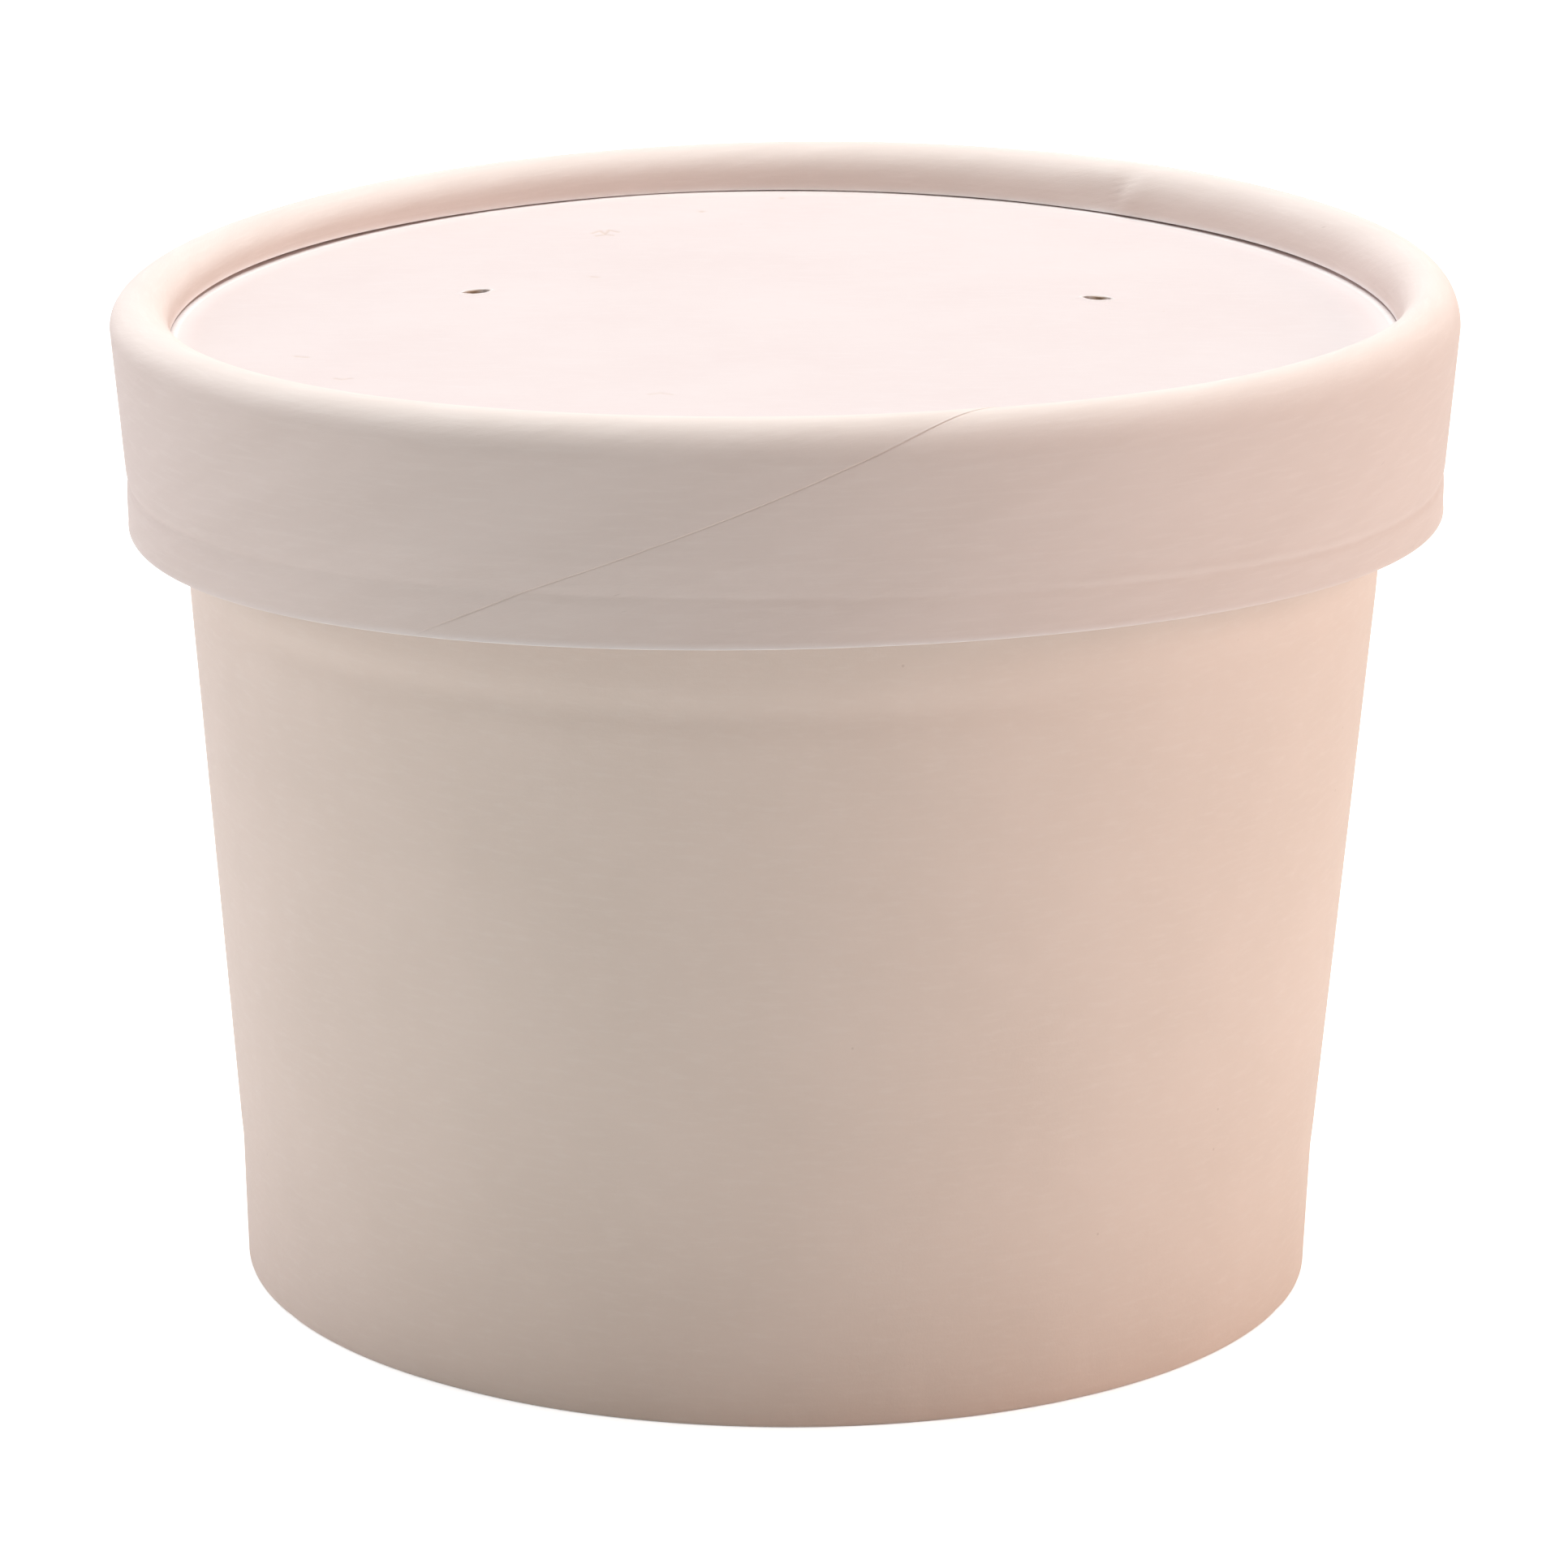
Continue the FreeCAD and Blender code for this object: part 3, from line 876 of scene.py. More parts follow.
    def base_outline(self) -> Outline:
        """The base disc's section, with its flange turned down.

        Returns:
            The outline.
        """
        outer = self.board + self.gap
        inner = outer + self.base_board
        flange_end = self.board + 2 * self.gap + 0.3 * MM
        corner = self.foot(self.base_level, inner) - self.base_bend
        top = self.base_level + self.base_board - 0.02 * MM
        outline = Outline([(0.0, self.base_level)])
        outline.run((corner, self.base_level), 40)
        outline.sweep((corner, self.base_level - self.base_bend), self.base_bend, 90.0, 0.0, 6)
        for level, depth, pieces in (
                (flange_end, inner, 8), (flange_end, outer, 1), (top, outer, 8)):
            outline.run((self.foot(level, depth), level), pieces)
        outline.run((0.0, top), 6)
        return outline

    def build(self, turner: TurnTree, ribber: RibTree) -> None:
        """Make the wall, the base disc and the pressed ribs inside the foot.

        Args:
            turner: The tree that turns board.
            ribber: The tree that stands ribs on a ring.
        """
        outline = self.wall_outline()
        lengths, levels = outline.lengths(), np.array(outline.spots)[:, 1]
        outside = 1.0 * (lengths > lengths[np.argmin(levels)]) * (levels < self.wall_top)
        section = outline.mesh("wall_outline", lengths, 0 * lengths, outside)
        wall = turner.grow("cup_wall", section, {
            "Steps": self.steps, "Crowding": 0.86, "Seam Angle": math.pi / 2,
            "Seam Step": self.lap_step, "Seam Drop": self.lap_drop,
            "Seam Lap": self.lap_width, "Seam Ramp": self.lap_ramp,
            "Unevenness": 0.06 * MM, "Patch Size": 26 * MM, "Seed": 3.0,
            "Finish": CUP_FINISH.make()})
        finish_mesh(wall)
        self.shape_wall(wall)
        keep(wall, "cup_board", "cup_body")

        outline = self.base_outline()
        lengths, under = outline.lengths(), 1.0 * (np.array(outline.spots)[:, 0] < 34 * MM)
        section = outline.mesh("base_outline", lengths, 0 * lengths, under)
        disc = turner.grow("base_disc", section, {
            "Steps": self.base_steps, "Crowding": 0.0, "Seam Angle": 0.0, "Seam Step": 0.0,
            "Seam Drop": 1.0, "Seam Lap": 1.0, "Seam Ramp": 1.0,
            "Unevenness": 0.05 * MM, "Patch Size": 20 * MM, "Seed": 8.0,
            "Finish": BASE_FINISH.make()})
        finish_mesh(disc)
        keep(disc, "base_board", "cup_base")

        ribs = ribber.grow("foot_knurl", bpy.data.meshes.new("rib_seed"), {
            "Count": self.rib_count, "Radius": self.foot(4 * MM, self.fold) + 0.02 * MM,
            "Level": 3.9 * MM, "Rib Length": 5.4 * MM, "Rib Width": 0.55 * MM,
            "Rib Depth": 0.24 * MM, "Seed": 5, "Finish": bpy.data.materials[BASE_FINISH.name]})
        for face in ribs.data.polygons:
            face.use_smooth = True
        keep(ribs, "cup_board")


@dataclass(frozen=True)
class Bow:
    """How far a line round the lid bows up or down, by its turn from the front."""

    level: float = 0.0
    tip: float = 0.0
    side: float = 0.0
    saddle: float = 0.0
    twist: float = 0.0

    def at(self, turn: np.ndarray) -> np.ndarray:
        """Give the bow at each turn."""
        return (self.level + self.tip * np.cos(turn) + self.side * np.sin(turn)
                + self.saddle * np.cos(2 * turn) + self.twist * np.sin(2 * turn))


@dataclass
class Lid:
    """The lid: a band wound on a slant and curled in at the top over a flat panel."""

    outside: float
    level: float
    lean: float = 0.8 * DEGREE
    flare: float = 1.0 * MM
    board: float = 0.7 * MM
    roll: float = 2.2 * MM
    roll_rise: float = 2.6 * MM
    roll_level: float = 1.75 * MM
    curl_level: float = 0.53 * MM
    skirt_depth: float = 12.0 * MM
    crimp_level: float = -8.6 * MM
    edge_round: float = 0.08 * MM
    seam_start: float = -32.6 * DEGREE
    seam_pitch: float = 3.25 * DEGREE / MM
    seam_easing: float = 0.035 * DEGREE / MM ** 2
    seam_turn_in: float = 0.7 * DEGREE / MM
    panel_board: float = 0.6 * MM
    panel_radius: float = 49.45 * MM
    steps: int = 500
    top_bow: Bow = Bow(0.13 * MM, 0.285 * MM, -0.15 * MM, 0.46 * MM)
    crown_bow: Bow = Bow(tip=0.25 * MM, side=0.65 * MM)
    crimp_bow: Bow = Bow(saddle=1.3 * MM)
    edge_bow: Bow = Bow(-0.31 * MM, 0.49 * MM, 0.35 * MM, 0.9 * MM, 0.24 * MM)
    gape: Press = Press(0.42 * MM, 110 * DEGREE, 34 * DEGREE)
    crease_turn: float = 145.3 * DEGREE
    crease_lean: float = 0.85

    @classmethod
    def from_frame(cls) -> "Lid":
        """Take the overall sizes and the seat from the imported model.

        Returns:
            The lid.
        """
        low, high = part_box("lid_band")
        panel_low, panel_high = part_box("lid_panel")
        level = (panel_low.z + panel_high.z) / 2 - cls.panel_board / 2
        return cls((high.y - low.y) / 2, level, panel_radius=(panel_high.y - panel_low.y) / 2)

    @property
    def place(self) -> Matrix:
        """Where the lid sits: up on the rim and leaning a little."""
        return Matrix.Translation((0.0, 0.0, self.level)) @ Matrix.Rotation(-self.lean, 4, "Y")

    def skirt_outside(self, level: float) -> float:
        """Outside radius of the skirt at a level below the roll, before it is crimped."""
        share = (level - self.crimp_level) / (self.roll_level - self.crimp_level)
        return self.outside - self.flare * (1.0 - max(0.0, share))

    def band_outline(self) -> Tuple[Outline, int, int]:
        """Draw the band's section, with the places of its outer lower corner and its raw curl end.

        Returns:
            The outline and the two places in it.
        """
        edge, soft = -self.skirt_depth, self.edge_round
        outer, inner = self.skirt_outside(edge) - soft, self.skirt_outside(edge) - self.board
        roll_middle = self.outside - self.roll, self.roll_level
        curl_face = self.outside - 2 * self.roll
        outline = Outline([(inner + soft, edge)])
        outline.run((outer, edge), 3)
        corner = len(outline.spots)
        outline.sweep((outer, edge + soft), soft, 270.0, 360.0, 4)
        fine_low, fine_high = self.crimp_level - 1.3 * MM, self.crimp_level + 3.2 * MM
        levels = np.concatenate([
            np.linspace(edge + 3 * soft, fine_low, 9), np.linspace(fine_low, fine_high, 38)[1:],
            np.linspace(fine_high, self.roll_level, 15)[1:-1]])
        for level in levels:
            outline.run((self.skirt_outside(level), level))
        outline.sweep(roll_middle, self.roll, 0.0, 180.0, 40, self.roll_rise)
        outline.run((curl_face, self.curl_level), 4)
        curl_end = len(outline.spots) - 1
        outline.run((curl_face + self.board, self.curl_level))
        outline.sweep(
            roll_middle, self.roll - self.board, 180.0, 0.0, 16, self.roll_rise - self.board)
        for level in levels[::-4]:
            outline.run((self.skirt_outside(level) - self.board, level))
        outline.run((inner, edge + soft))
        outline.run((inner + soft, edge))
        return outline, corner, curl_end

    def drift(self, turn: np.ndarray, level: np.ndarray) -> np.ndarray:
        """How far the band is bowed up or down.

        Args:
            turn: Turn of each point round from the front.
            level: Level of each point on the true band.

        Returns:
            The rise of each point.
        """
        crimp, roll = self.crimp_level, self.roll_level
        above = np.clip((level - crimp) / (roll - crimp), 0.0, 1.0)
        below = np.clip((crimp - level) / (crimp + self.skirt_depth), 0.0, 1.0)
        crown = np.clip((level - roll) / self.roll_rise, 0.0, 1.0)
        middle = (1.0 - above) * (1.0 - below) * self.crimp_bow.at(turn)
        ends = above * self.top_bow.at(turn) + below * self.edge_bow.at(turn)
        return ends + middle + crown * self.crown_bow.at(turn)

    def crimp(self, turn: np.ndarray, level: np.ndarray) -> np.ndarray:
        """How far the crimp under the rim presses the skirt in or out.

        Args:
            turn: Turn of each point round from the front.
            level: Level of each point on the true band.

        Returns:
            The height of each point over the plain skirt.
        """
        off = level - self.crimp_level
        side = ease(np.abs(turn), 35 * DEGREE, 80 * DEGREE)
        right = ease(turn, 14 * DEGREE, 36 * DEGREE) * (1.0 - side)
        front = 1.0 - ease(np.abs(turn + 3 * DEGREE), 12 * DEGREE, 26 * DEGREE)
        notch = (0.02 + 0.13 * side) * Press(-MM, 0.0, 0.42 * MM).at(off)
        fold = front * Press(-0.022 * MM, -0.05 * MM, 0.35 * MM).at(off)
        ridge = (1.0 - side) * Press(0.035 * MM, 2.5 * MM, 0.6 * MM).at(off)
        shelf = right * Press(0.075 * MM, 0.55 * MM, 0.35 * MM).at(off)
        tuck = -0.04 * MM * ease(-off, 0.8 * MM, 3.4 * MM)
        return notch + fold + ridge + shelf + tuck

    def crease(self, turn: np.ndarray, over: np.ndarray) -> np.ndarray:
        """Shape the small crease in the roll, at the back on the right.

        Args:
            turn: Turn of each point round from the front.
            over: Way of each point past the roll's crown.

        Returns:
            The height of each point over the plain roll.
        """
        across = turned_to(turn, self.crease_turn) * self.outside
        over = over - 2.8 * MM
        lean, upright = self.crease_lean, math.sqrt(1.0 - self.crease_lean ** 2)
        off, run = across * lean - over * upright, across * upright + over * lean
        valley, ridge = Press(-0.24 * MM, 0.0, 0.85 * MM), Press(0.16 * MM, -1.5 * MM, 0.85 * MM)
        dent = Press(-0.16 * MM, 0.0, 1.3 * MM).at(np.hypot(across - 2.4 * MM, over - 0.6 * MM))
        return (valley.at(off) + ridge.at(off)) * bump(run, 2 * MM) + dent

    def wind_band(self, turner: TurnTree) -> Tuple[bpy.types.Object, float, float]:
        """Turn the band with its slanting seam.

        Args:
            turner: The tree that turns board.

        Returns:
            The band, and the ways along its board to the roll's crown and to the raw curl end.
        """
        outline, corner, curl_end = self.band_outline()
        along = outline.lengths()
        along -= along[corner]
        total = along[curl_end]
        crown = along[corner + np.argmax(np.array(outline.spots)[corner:curl_end, 1])]
        back = (along - total) / (along[-1] - total)
        walked = np.where(along <= total, np.clip(along, 0.0, None), total * (1.0 - back))
        slant = self.seam_start + (self.seam_pitch - self.seam_easing * walked) * walked
        slant += self.seam_turn_in * np.clip(walked - self.skirt_depth - self.roll_level, 0.0, None)
        relief = ease(along, 0.0, 1.6 * MM) * (np.arange(len(along)) <= curl_end)
        section = outline.mesh("band_outline", along, slant, relief, True)
        band = turner.grow("lid_band_wound", section, {
            "Steps": self.steps, "Crowding": 0.9, "Seam Angle": FRONT, "Seam Step": 0.05 * MM,
            "Seam Drop": 0.08 * MM, "Seam Lap": 18 * MM, "Seam Ramp": 50 * MM,
            "Unevenness": 0.06 * MM, "Patch Size": 22 * MM, "Seed": 11.0,
            "Finish": LID_FINISH.make()})
        finish_mesh(band)
        return band, crown, total

    def build_band(self, turner: TurnTree) -> None:
        """Wind the band, crimp and bow it, crease its roll and set it on the rim.

        Args:
            turner: The tree that turns board.
        """
        band, crown, total = self.wind_band(turner)
        surface = Surface(band)
        turn, along, level = surface.turn(), surface.read("along"), surface.points[:, 2].copy()
        seam_off = surface.read("swing") * self.outside
        started = ease(along, 0.1 * MM, 1.6 * MM)
        outer = ease(along, 0.0, 0.35 * MM) * (along <= total)
        groove = started * Press(-0.03 * MM, 0.05 * MM, 0.12 * MM).at(seam_off)
        pressed = self.crimp(turn, level) * (level < self.roll_level)
        surface.push((self.crease(turn, along - crown) + groove + pressed) * outer)
        gape = self.gape.at(np.abs(turn)) * bump(along - total, 0.9 * MM)
        surface.raise_by(self.drift(turn, level) + gape)

        # The band's pale raw lower edge, brightened into a painted highlight that is strongest at
        # the front and fades towards the sides.
        raw = bump(np.clip(along, 0.0, None), 0.27 * MM) * (np.abs(along - 0.5 * MM) < 1.5 * MM)
        raw *= 0.9 - 0.6 * ease(np.abs(turn), 15 * DEGREE, 62 * DEGREE)
        over_roll = ease(along, crown - 3.8 * MM, crown - 1.9 * MM)
        lip = over_roll * Press(0.4, -0.16 * MM, 0.14 * MM).at(seam_off) * outer
        line = started * (1.0 - 0.8 * over_roll) * Press(0.26, 0.04 * MM, 0.17 * MM).at(seam_off)
        surface.write("edge", np.maximum(np.maximum(raw, bump(along - total, 0.25 * MM)), lip))
        surface.write("mark", line * outer)
        surface.apply(self.place)
        keep(band, "lid_board", "lid_band")


@dataclass
class Vent:
    """A slit through the panel, shaped like a thin lens."""

    across: float
    back: float
    turn: float
    length: float = 2.35 * MM
    width: float = 1.3 * MM

    def edge(self, spread: float, count: int = 40) -> List[Spot]:
        """Points of the slit's edge, or of a line some distance out from it.

        Args:
            spread: How far out from the edge.
            count: How many points round.

        Returns:
            The points, turned and in place on the panel.
        """
        spots = []
        for number in range(count):
            angle = 2 * math.pi * number / count
            run = math.cos(angle) * (self.length / 2 + spread)
            open_share = math.copysign(abs(math.sin(angle)) ** 1.4, math.sin(angle))
            gape = open_share * (self.width / 2 + spread)
            spots.append((self.across + run * math.cos(self.turn) - gape * math.sin(self.turn),
                          self.back + run * math.sin(self.turn) + gape * math.cos(self.turn)))
        return spots

    def aligned(self, points: np.ndarray) -> Tuple[np.ndarray, np.ndarray, np.ndarray]:
        """Place points in the slit's own frame.

        Args:
            points: Places on the panel, across and back.

        Returns:
            Each point's place along the slit and across it, and how open the slit is there, 0 to 1.
        """
        off = points - np.array([self.across, self.back])
        run = off[:, 0] * math.cos(self.turn) + off[:, 1] * math.sin(self.turn)
        gape = -off[:, 0] * math.sin(self.turn) + off[:, 1] * math.cos(self.turn)
        return run, gape, np.clip(1.0 - (2 * run / self.length) ** 2, 0.0, 1.0)

    def holds(self, points: np.ndarray) -> np.ndarray:
        """Tell which points lie in the open slit."""
        _, gape, share = self.aligned(points)
        return np.abs(gape) < self.width / 2 * share ** 0.7

    def distance(self, points: np.ndarray) -> np.ndarray:
        """How far each point lies out from the slit, roughly, as if it were a thin oval.

        Args:
            points: Places on the panel, across and back.

        Returns:
            A distance for each point.
        """
        run, gape, share = self.aligned(points)
        over = np.clip(np.abs(run) - self.length / 2, 0.0, None)
        return np.hypot(over, np.clip(np.abs(gape) - self.width / 2 * share, 0.0, None))


@dataclass
class Scuff:
    """A small rubbed or pressed mark on the panel: a dot or a short wandering stroke."""

    strokes: Sequence[Spot]
    width: float = 0.16 * MM
    strength: float = 0.35

    def distance(self, points: np.ndarray) -> np.ndarray:
        """How far each point lies from the stroke.

        Args:
            points: Places on the panel, across and back.

        Returns:
            A distance for each point.
        """
        path = [np.array(spot) * MM for spot in self.strokes]
        nearest = np.hypot(*(points - path[0]).T)
        for first, last in zip(path[:-1], path[1:]):
            run = last - first
            share = np.clip(((points - first) @ run) / (run @ run), 0.0, 1.0)
            nearest = np.minimum(nearest, np.hypot(*(points - first - share[:, None] * run).T))
        return nearest

    def patch(self, pitch: float) -> List[Spot]:
        """A fine round grid of points over the mark.

        Args:
            pitch: Distance between the points.

        Returns:
            The points, in place on the panel.
        """
        middle = np.mean(np.array(self.strokes), axis=0) * MM
        off = np.array(self.strokes) * MM - middle
        reach = float(np.max(np.hypot(*off.T))) + 2.5 * self.width
        ticks = np.linspace(-reach, reach, max(5, int(2 * reach / pitch)))
        return [(float(middle[0] + across), float(middle[1] + back))
                for across in ticks for back in ticks if math.hypot(across, back) <= reach]


VENTS = (Vent(-23.6 * MM, 12.35 * MM, 26 * DEGREE), Vent(23.72 * MM, 9.67 * MM, -17 * DEGREE))
# Where each mark runs on the panel, in millimetres to the right and back.
SCUFFS = (
    Scuff(((-15.2, 31.9), (-14.6, 32.7), (-14.2, 31.6), (-13.9, 32.9), (-13.2, 32.3)),
          strength=0.45),
    Scuff(((-14.9, 31.0), (-14.2, 31.4), (-13.6, 31.2)), strength=0.38),
    Scuff(((-6.7, 39.0),), 0.26 * MM, 0.45),
    Scuff(((-14.9, 17.5), (-14.5, 17.3)), 0.2 * MM, 0.3),
    Scuff(((-36.2, -8.5), (-35.4, -8.8)), 0.22 * MM, 0.3),
    Scuff(((-32.9, -16.0), (-32.4, -16.3), (-31.8, -16.0)), 0.2 * MM, 0.25),
    Scuff(((-9.8, -20.9), (-9.0, -20.4), (-8.2, -20.9)), 0.2 * MM, 0.2),
    Scuff(((-0.4, 43.6),), 0.24 * MM, 0.4),
)


@dataclass
class Panel:
    """The lid's flat panel, slit for steam and marked by handling."""

    lid: Lid
    spacing: float = 1.3 * MM
    rim_spacing: float = 0.6 * MM
    near: float = 0.09 * MM
    clear: float = 0.03 * MM
    dish: float = 0.18 * MM
    # Painted highlight: a pale line round the panel just inside the roll's inner edge.
    corner: Press = Press(0.9, 45.75 * MM, 0.24 * MM)
    slit_lip: Press = Press(0.10 * MM, 0.16 * MM, 0.22 * MM)
    slit_cut: Press = Press(-0.09 * MM, 0.0, 0.08 * MM)

    def spots(self) -> Tuple[List[Spot], List[Tuple[int, int]]]:
        """Lay out points over the panel, dense where there is detail.

        Returns:
            The points, and the edges of the panel's rim and slits as pairs of points.
        """
        rim = self.lid.panel_radius
        radii = np.concatenate([
            np.arange(self.spacing, rim - 4.2 * MM, self.spacing),
            np.arange(rim - 4.0 * MM, rim - 2.6 * MM, 0.16 * MM), [rim - 1.3 * MM]])
        loops = [(self.ring(radius), False) for radius in radii] + [(self.ring(rim), True)]
        for vent in VENTS:
            loops += [(vent.edge(out * MM), out == 0.0)
                      for out in (0.0, 0.07, 0.15, 0.26, 0.42, 0.7)]
        loops += [(scuff.patch(self.near), False) for scuff in SCUFFS]
        spots: List[Spot] = []
        edges: List[Tuple[int, int]] = []
        for loop, is_edge in loops:
            first, count = len(spots), len(loop)
            spots += [spot for spot in loop if is_edge or self.is_free(spot)]
            if is_edge:
                edges += [(first + number, first + (number + 1) % count) for number in range(count)]
        return spots, edges

    def ring(self, radius: float) -> List[Spot]:
        """Points round the panel at a radius, each ring turned a little from the last.

        Args:
            radius: The ring's radius.

        Returns:
            The points.
        """
        pitch = self.spacing if radius < 44 * MM else self.rim_spacing
        count = max(8, int(2 * math.pi * radius / pitch))
        turn = radius / self.spacing * 0.7
        angles = [2 * math.pi * number / count + turn for number in range(count)]
        return [(radius * math.cos(angle), radius * math.sin(angle)) for angle in angles]

    def is_free(self, spot: Spot) -> bool:
        """Tell whether a point lies clear of both slits."""
        return all(vent.distance(np.array([spot]))[0] > self.clear for vent in VENTS)

    def height(self, points: np.ndarray) -> np.ndarray:
        """Height of the panel's face over its flat plane.

        Args:
            points: Places on the panel, across and back.

        Returns:
            The rise of each point.
        """
        radius = np.hypot(*points.T)
        deep = np.column_stack([points, np.zeros(len(points))])
        rise = 0.07 * MM * patchy(deep, 24 * MM, 4.0) + 0.02 * MM * patchy(deep, 7 * MM, 9.0)
        rise -= self.dish * (1.0 - (radius / self.lid.panel_radius) ** 2)
        turn = turned_to(np.arctan2(points[:, 1], points[:, 0]), FRONT)
        rise += self.lid.top_bow.at(turn) * ease(radius, 20 * MM, 45.5 * MM)
        for vent in VENTS:
            off = vent.distance(points)
            rise += self.slit_lip.at(off) + self.slit_cut.at(off)
        for scuff in SCUFFS:
            rise -= 0.05 * MM * bump(scuff.distance(points), scuff.width)
        return rise

    def mesh(self) -> bpy.types.Mesh:
        """Join the points into a slit sheet and give it its thickness.

        Returns:
            The panel's mesh, closed all round.
        """
        spots, edges = self.spots()
        flat, _, faces, *_ = geometry.delaunay_2d_cdt(
            [Vector(spot) for spot in spots], edges, [], 1, SAME_SPOT)
        places = np.array([tuple(spot) for spot in flat])
        middles = np.array([places[list(face)].mean(axis=0) for face in faces])
        is_open = np.any([vent.holds(middles) for vent in VENTS], axis=0)
        rise = self.height(places)
        work = bmesh.new()
        tops, lows = ([work.verts.new((x, y, z + up)) for (x, y), z in zip(places, rise)]
                      for up in (self.lid.panel_board, 0.0))
        for face, is_gap in zip(faces, is_open):
            if not is_gap:
                work.faces.new([tops[index] for index in face])
                work.faces.new([lows[index] for index in reversed(face)])
        work.verts.index_update()
        ends = [[vert.index for vert in edge.verts]
                for edge in work.edges if len(edge.link_faces) == 1]
        for first, last in ends:
            if max(first, last) < len(tops):
                work.faces.new([tops[first], tops[last], lows[last], lows[first]])
        loose = [vert for vert in work.verts if not vert.link_faces]
        bmesh.ops.delete(work, geom=loose, context="VERTS")
        shape = bpy.data.meshes.new("lid_panel_slit")
        work.to_mesh(shape)
        work.free()
        return shape

    def build(self) -> None:
        """Make the panel, mark where it is rubbed, paint a highlight round its rim and the slits'
        lips, paint shade on the slits' cut walls and set it in the band.
        """
        piece = bpy.data.objects.new("lid_panel_slit", self.mesh())
        bpy.context.scene.collection.objects.link(piece)
        piece.data.materials.append(PANEL_FINISH.make())
        finish_mesh(piece, 40 * DEGREE)
        surface = Surface(piece)
        here, sunk = surface.points[:, :2], surface.points[:, 2] < 0.9 * self.lid.panel_board
        # The edge share starts as the painted highlight line round the panel's rim.
        edge, mark = self.corner.at(surface.radius()), np.zeros(len(here))
        for vent in VENTS:
            off = vent.distance(here)
            # Painted highlight on the raised lip round each slit.
            edge = np.maximum(edge, 0.6 * bump(off - 0.12 * MM, 0.12 * MM))
            # Painted shade: the slit's cut walls, where they sink below the face, are darkened
            # brown.
            mark = np.maximum(mark, bump(off, 0.05 * MM) * sunk)
        for scuff in SCUFFS:
            mark = np.maximum(mark, scuff.strength * bump(scuff.distance(here), scuff.width))
        surface.write("edge", edge)
        surface.write("mark", mark)
        surface.apply(self.lid.place)
        keep(piece, "panel_board", "lid_panel")


@dataclass(frozen=True)
class SoftLamp:
    """A soft square lamp that shines at the object."""

    name: str
    place: Tuple[float, float, float]
    size: float
    power: float
    tint: Colour = (1.0, 1.0, 1.0)

    def build(self, aim: Vector) -> None:
        """Hang the lamp and turn it to its aim.

        Args:
            aim: What it shines at.
        """
        lamp = bpy.data.lights.new(self.name, "AREA")
        lamp.shape, lamp.size, lamp.energy, lamp.color = "SQUARE", self.size, self.power, self.tint
        holder = bpy.data.objects.new(self.name, lamp)
        bpy.context.scene.collection.objects.link(holder)
        holder.location = self.place
        holder.rotation_euler = (aim - Vector(self.place)).to_track_quat("-Z", "Y").to_euler()


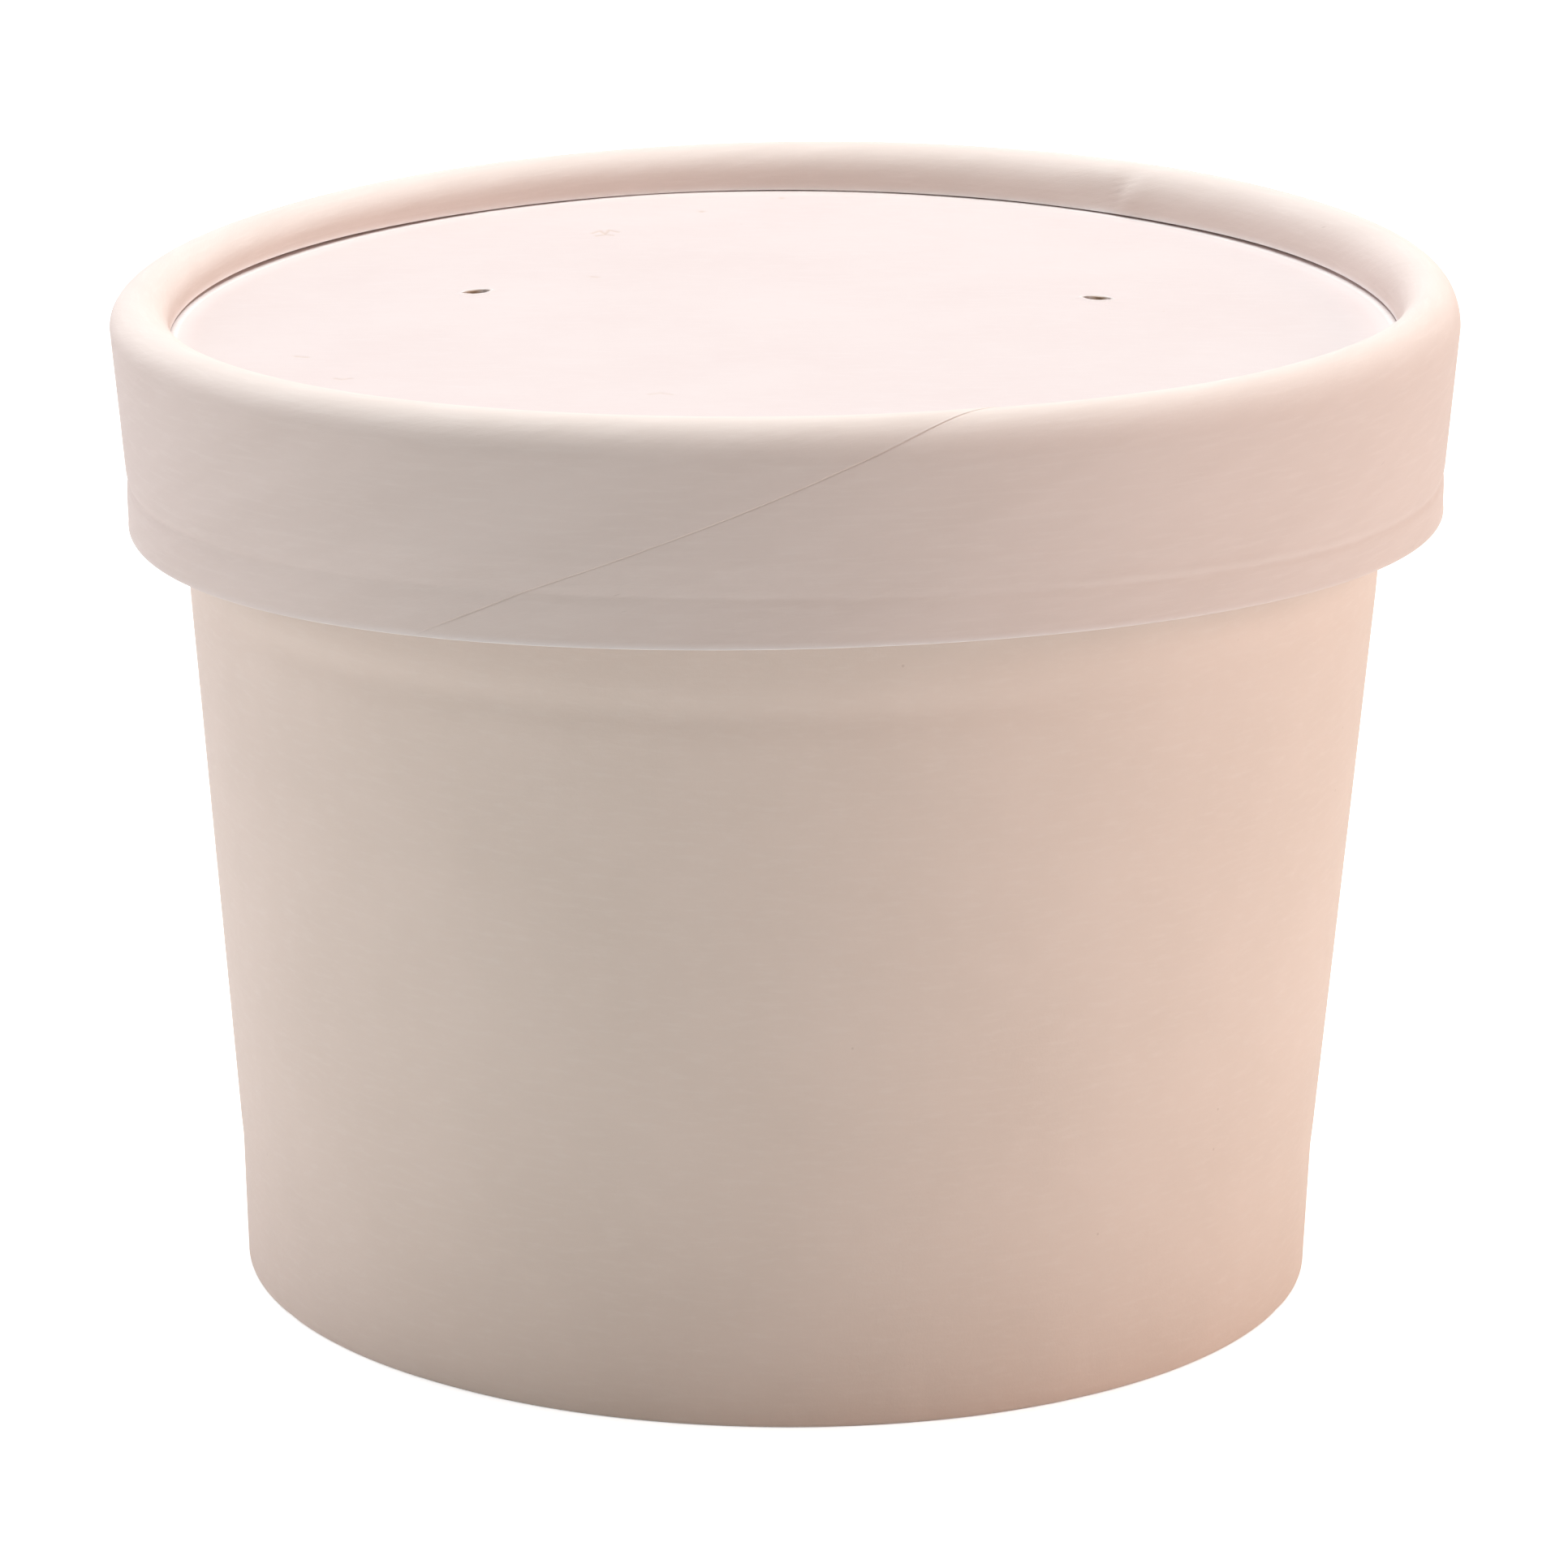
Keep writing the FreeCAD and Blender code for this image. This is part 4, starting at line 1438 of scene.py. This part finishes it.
@dataclass
class Studio:
    """A pale floor, soft lamps and the view from a little above the lid."""

    distance: float = 0.6676
    elevation: float = 19.344 * DEGREE
    aim_right: float = 0.0004
    aim_up: float = 0.0533
    roll: float = 0.0101
    lens: float = 197.86
    floor_size: float = 6.0
    floor_tones: Tuple[float, float] = (0.82, 0.85)
    glow_reach: Spot = (0.2, 1.2)
    glow_strength: Spot = (0.62, 1.1)
    lamps: Tuple[SoftLamp, ...] = (
        SoftLamp("lamp_top", (0.0, 0.12, 1.1), 0.9, 15.95, (0.917, 0.983, 1.0)),
        SoftLamp("lamp_right", (1.0, -0.25, 0.35), 0.8, 6.14, (1.0, 0.703, 0.6)),
        SoftLamp("lamp_left", (-1.0, -0.2, 0.4), 0.8, 2.83, (1.0, 0.938, 0.874)),
        SoftLamp("lamp_right_back", (0.9, 0.55, 0.35), 0.8, 1.05, (0.9, 1.0, 0.85)),
        SoftLamp("lamp_left_back", (-0.9, 0.55, 0.35), 0.8, 3.0, (0.91, 0.83, 1.0)),
    )

    def build(self) -> None:
        """Set up the world, the floor, the lamps and the camera."""
        scene = bpy.context.scene
        scene.view_settings.view_transform = "Standard"
        self.build_world(scene)
        self.build_floor()
        low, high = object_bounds()
        for lamp in self.lamps:
            lamp.build((low + high) / 2)
        self.build_camera(scene)

    def build_world(self, scene: bpy.types.Scene) -> None:
        """Make a world that is white to the eye and sheds no light on the object.

        Args:
            scene: The scene to give the world to.
        """
        scene.world = bpy.data.worlds.new("studio")
        scene.world.use_nodes = True
        graph = Graph(scene.world.node_tree)
        sky = graph.out("ShaderNodeBackground", {"Color": WHITE, "Strength": self.seen(graph)})
        graph.add("ShaderNodeOutputWorld", {0: sky})

    def seen(self, graph: Graph) -> Socket:
        """Give 1 for what is looked at straight, in gloss or through glass, else 0.

        Args:
            graph: The graph to add the nodes to.

        Returns:
            The share, as a socket.
        """
        path = graph.add("ShaderNodeLightPath").outputs
        both = graph.math("MAXIMUM", path["Is Camera Ray"], path["Is Glossy Ray"])
        return graph.math("MAXIMUM", both, path["Is Transmission Ray"])

    def floor_white(self) -> bpy.types.Material:
        """Make the floor's finish, which glows white to the eye but keeps the shadow on it.

        Returns:
            The material.
        """
        material = bpy.data.materials.new("floor_white")
        material.use_nodes = True
        graph = Graph(material.node_tree)
        place = graph.add("ShaderNodeTexCoord").outputs["Object"]
        cloud = graph.out("ShaderNodeTexNoise", {"Vector": place, "Scale": 3.0})
        tone = graph.blend(cloud, *((shade, shade, shade, 1.0) for shade in self.floor_tones))
        away = graph.add("ShaderNodeVectorMath", {0: place}, operation="LENGTH").outputs["Value"]
        lit = graph.reach(away, *self.glow_reach, *self.glow_strength, smooth=True)
        glow = graph.out("ShaderNodeEmission", {
            "Color": WHITE, "Strength": graph.math("MULTIPLY", self.seen(graph), lit)})
        matte = graph.out("ShaderNodeBsdfDiffuse", {"Color": tone})
        both = graph.out("ShaderNodeAddShader", {0: matte, 1: glow})
        graph.add("ShaderNodeOutputMaterial", {0: both})
        return material

    def build_floor(self) -> None:
        """Lay the pale floor."""
        half = self.floor_size / 2
        corners = [(-half, -half, 0), (half, -half, 0), (half, half, 0), (-half, half, 0)]
        shape = bpy.data.meshes.new("floor")
        shape.from_pydata(corners, [], [(0, 1, 2, 3)])
        shape.materials.append(self.floor_white())
        floor = bpy.data.objects.new("floor", shape)
        bpy.context.scene.collection.objects.link(floor)
        floor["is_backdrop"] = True

    def build_camera(self, scene: bpy.types.Scene) -> None:
        """Stand the camera in front, a little above, and turn it as it was held.

        Args:
            scene: The scene to give the camera to.
        """
        place = Vector((0.0, -math.cos(self.elevation), math.sin(self.elevation))) * self.distance
        right = Vector((1.0, 0.0, 0.0))
        up = right.cross(-place).normalized()
        ahead = (-place.normalized() + right * self.aim_right + up * self.aim_up).normalized()
        right = ahead.cross(Vector((0.0, 0.0, 1.0))).normalized()
        up = right.cross(ahead)
        tilted_right = right * math.cos(self.roll) + up * math.sin(self.roll)
        tilted_up = up * math.cos(self.roll) - right * math.sin(self.roll)
        camera = bpy.data.objects.new("camera", bpy.data.cameras.new("camera"))
        scene.collection.objects.link(camera)
        turn = Matrix((tilted_right, tilted_up, -ahead)).transposed().to_4x4()
        camera.matrix_world = Matrix.Translation(place) @ turn
        camera.data.lens, camera.data.sensor_width = self.lens, 36.0
        camera.data.clip_start, camera.data.clip_end = 0.01, 20.0
        scene.camera = camera


def main() -> None:
    """Build the container and light it."""
    logging.basicConfig(level=logging.INFO, format="%(name)s: %(message)s")
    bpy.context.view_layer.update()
    turner, ribber = TurnTree(), RibTree()
    Cup.from_frame().build(turner, ribber)
    lid = Lid.from_frame()
    lid.build_band(turner)
    Panel(lid).build()
    Studio().build()


if __name__ == "__main__":
    main()
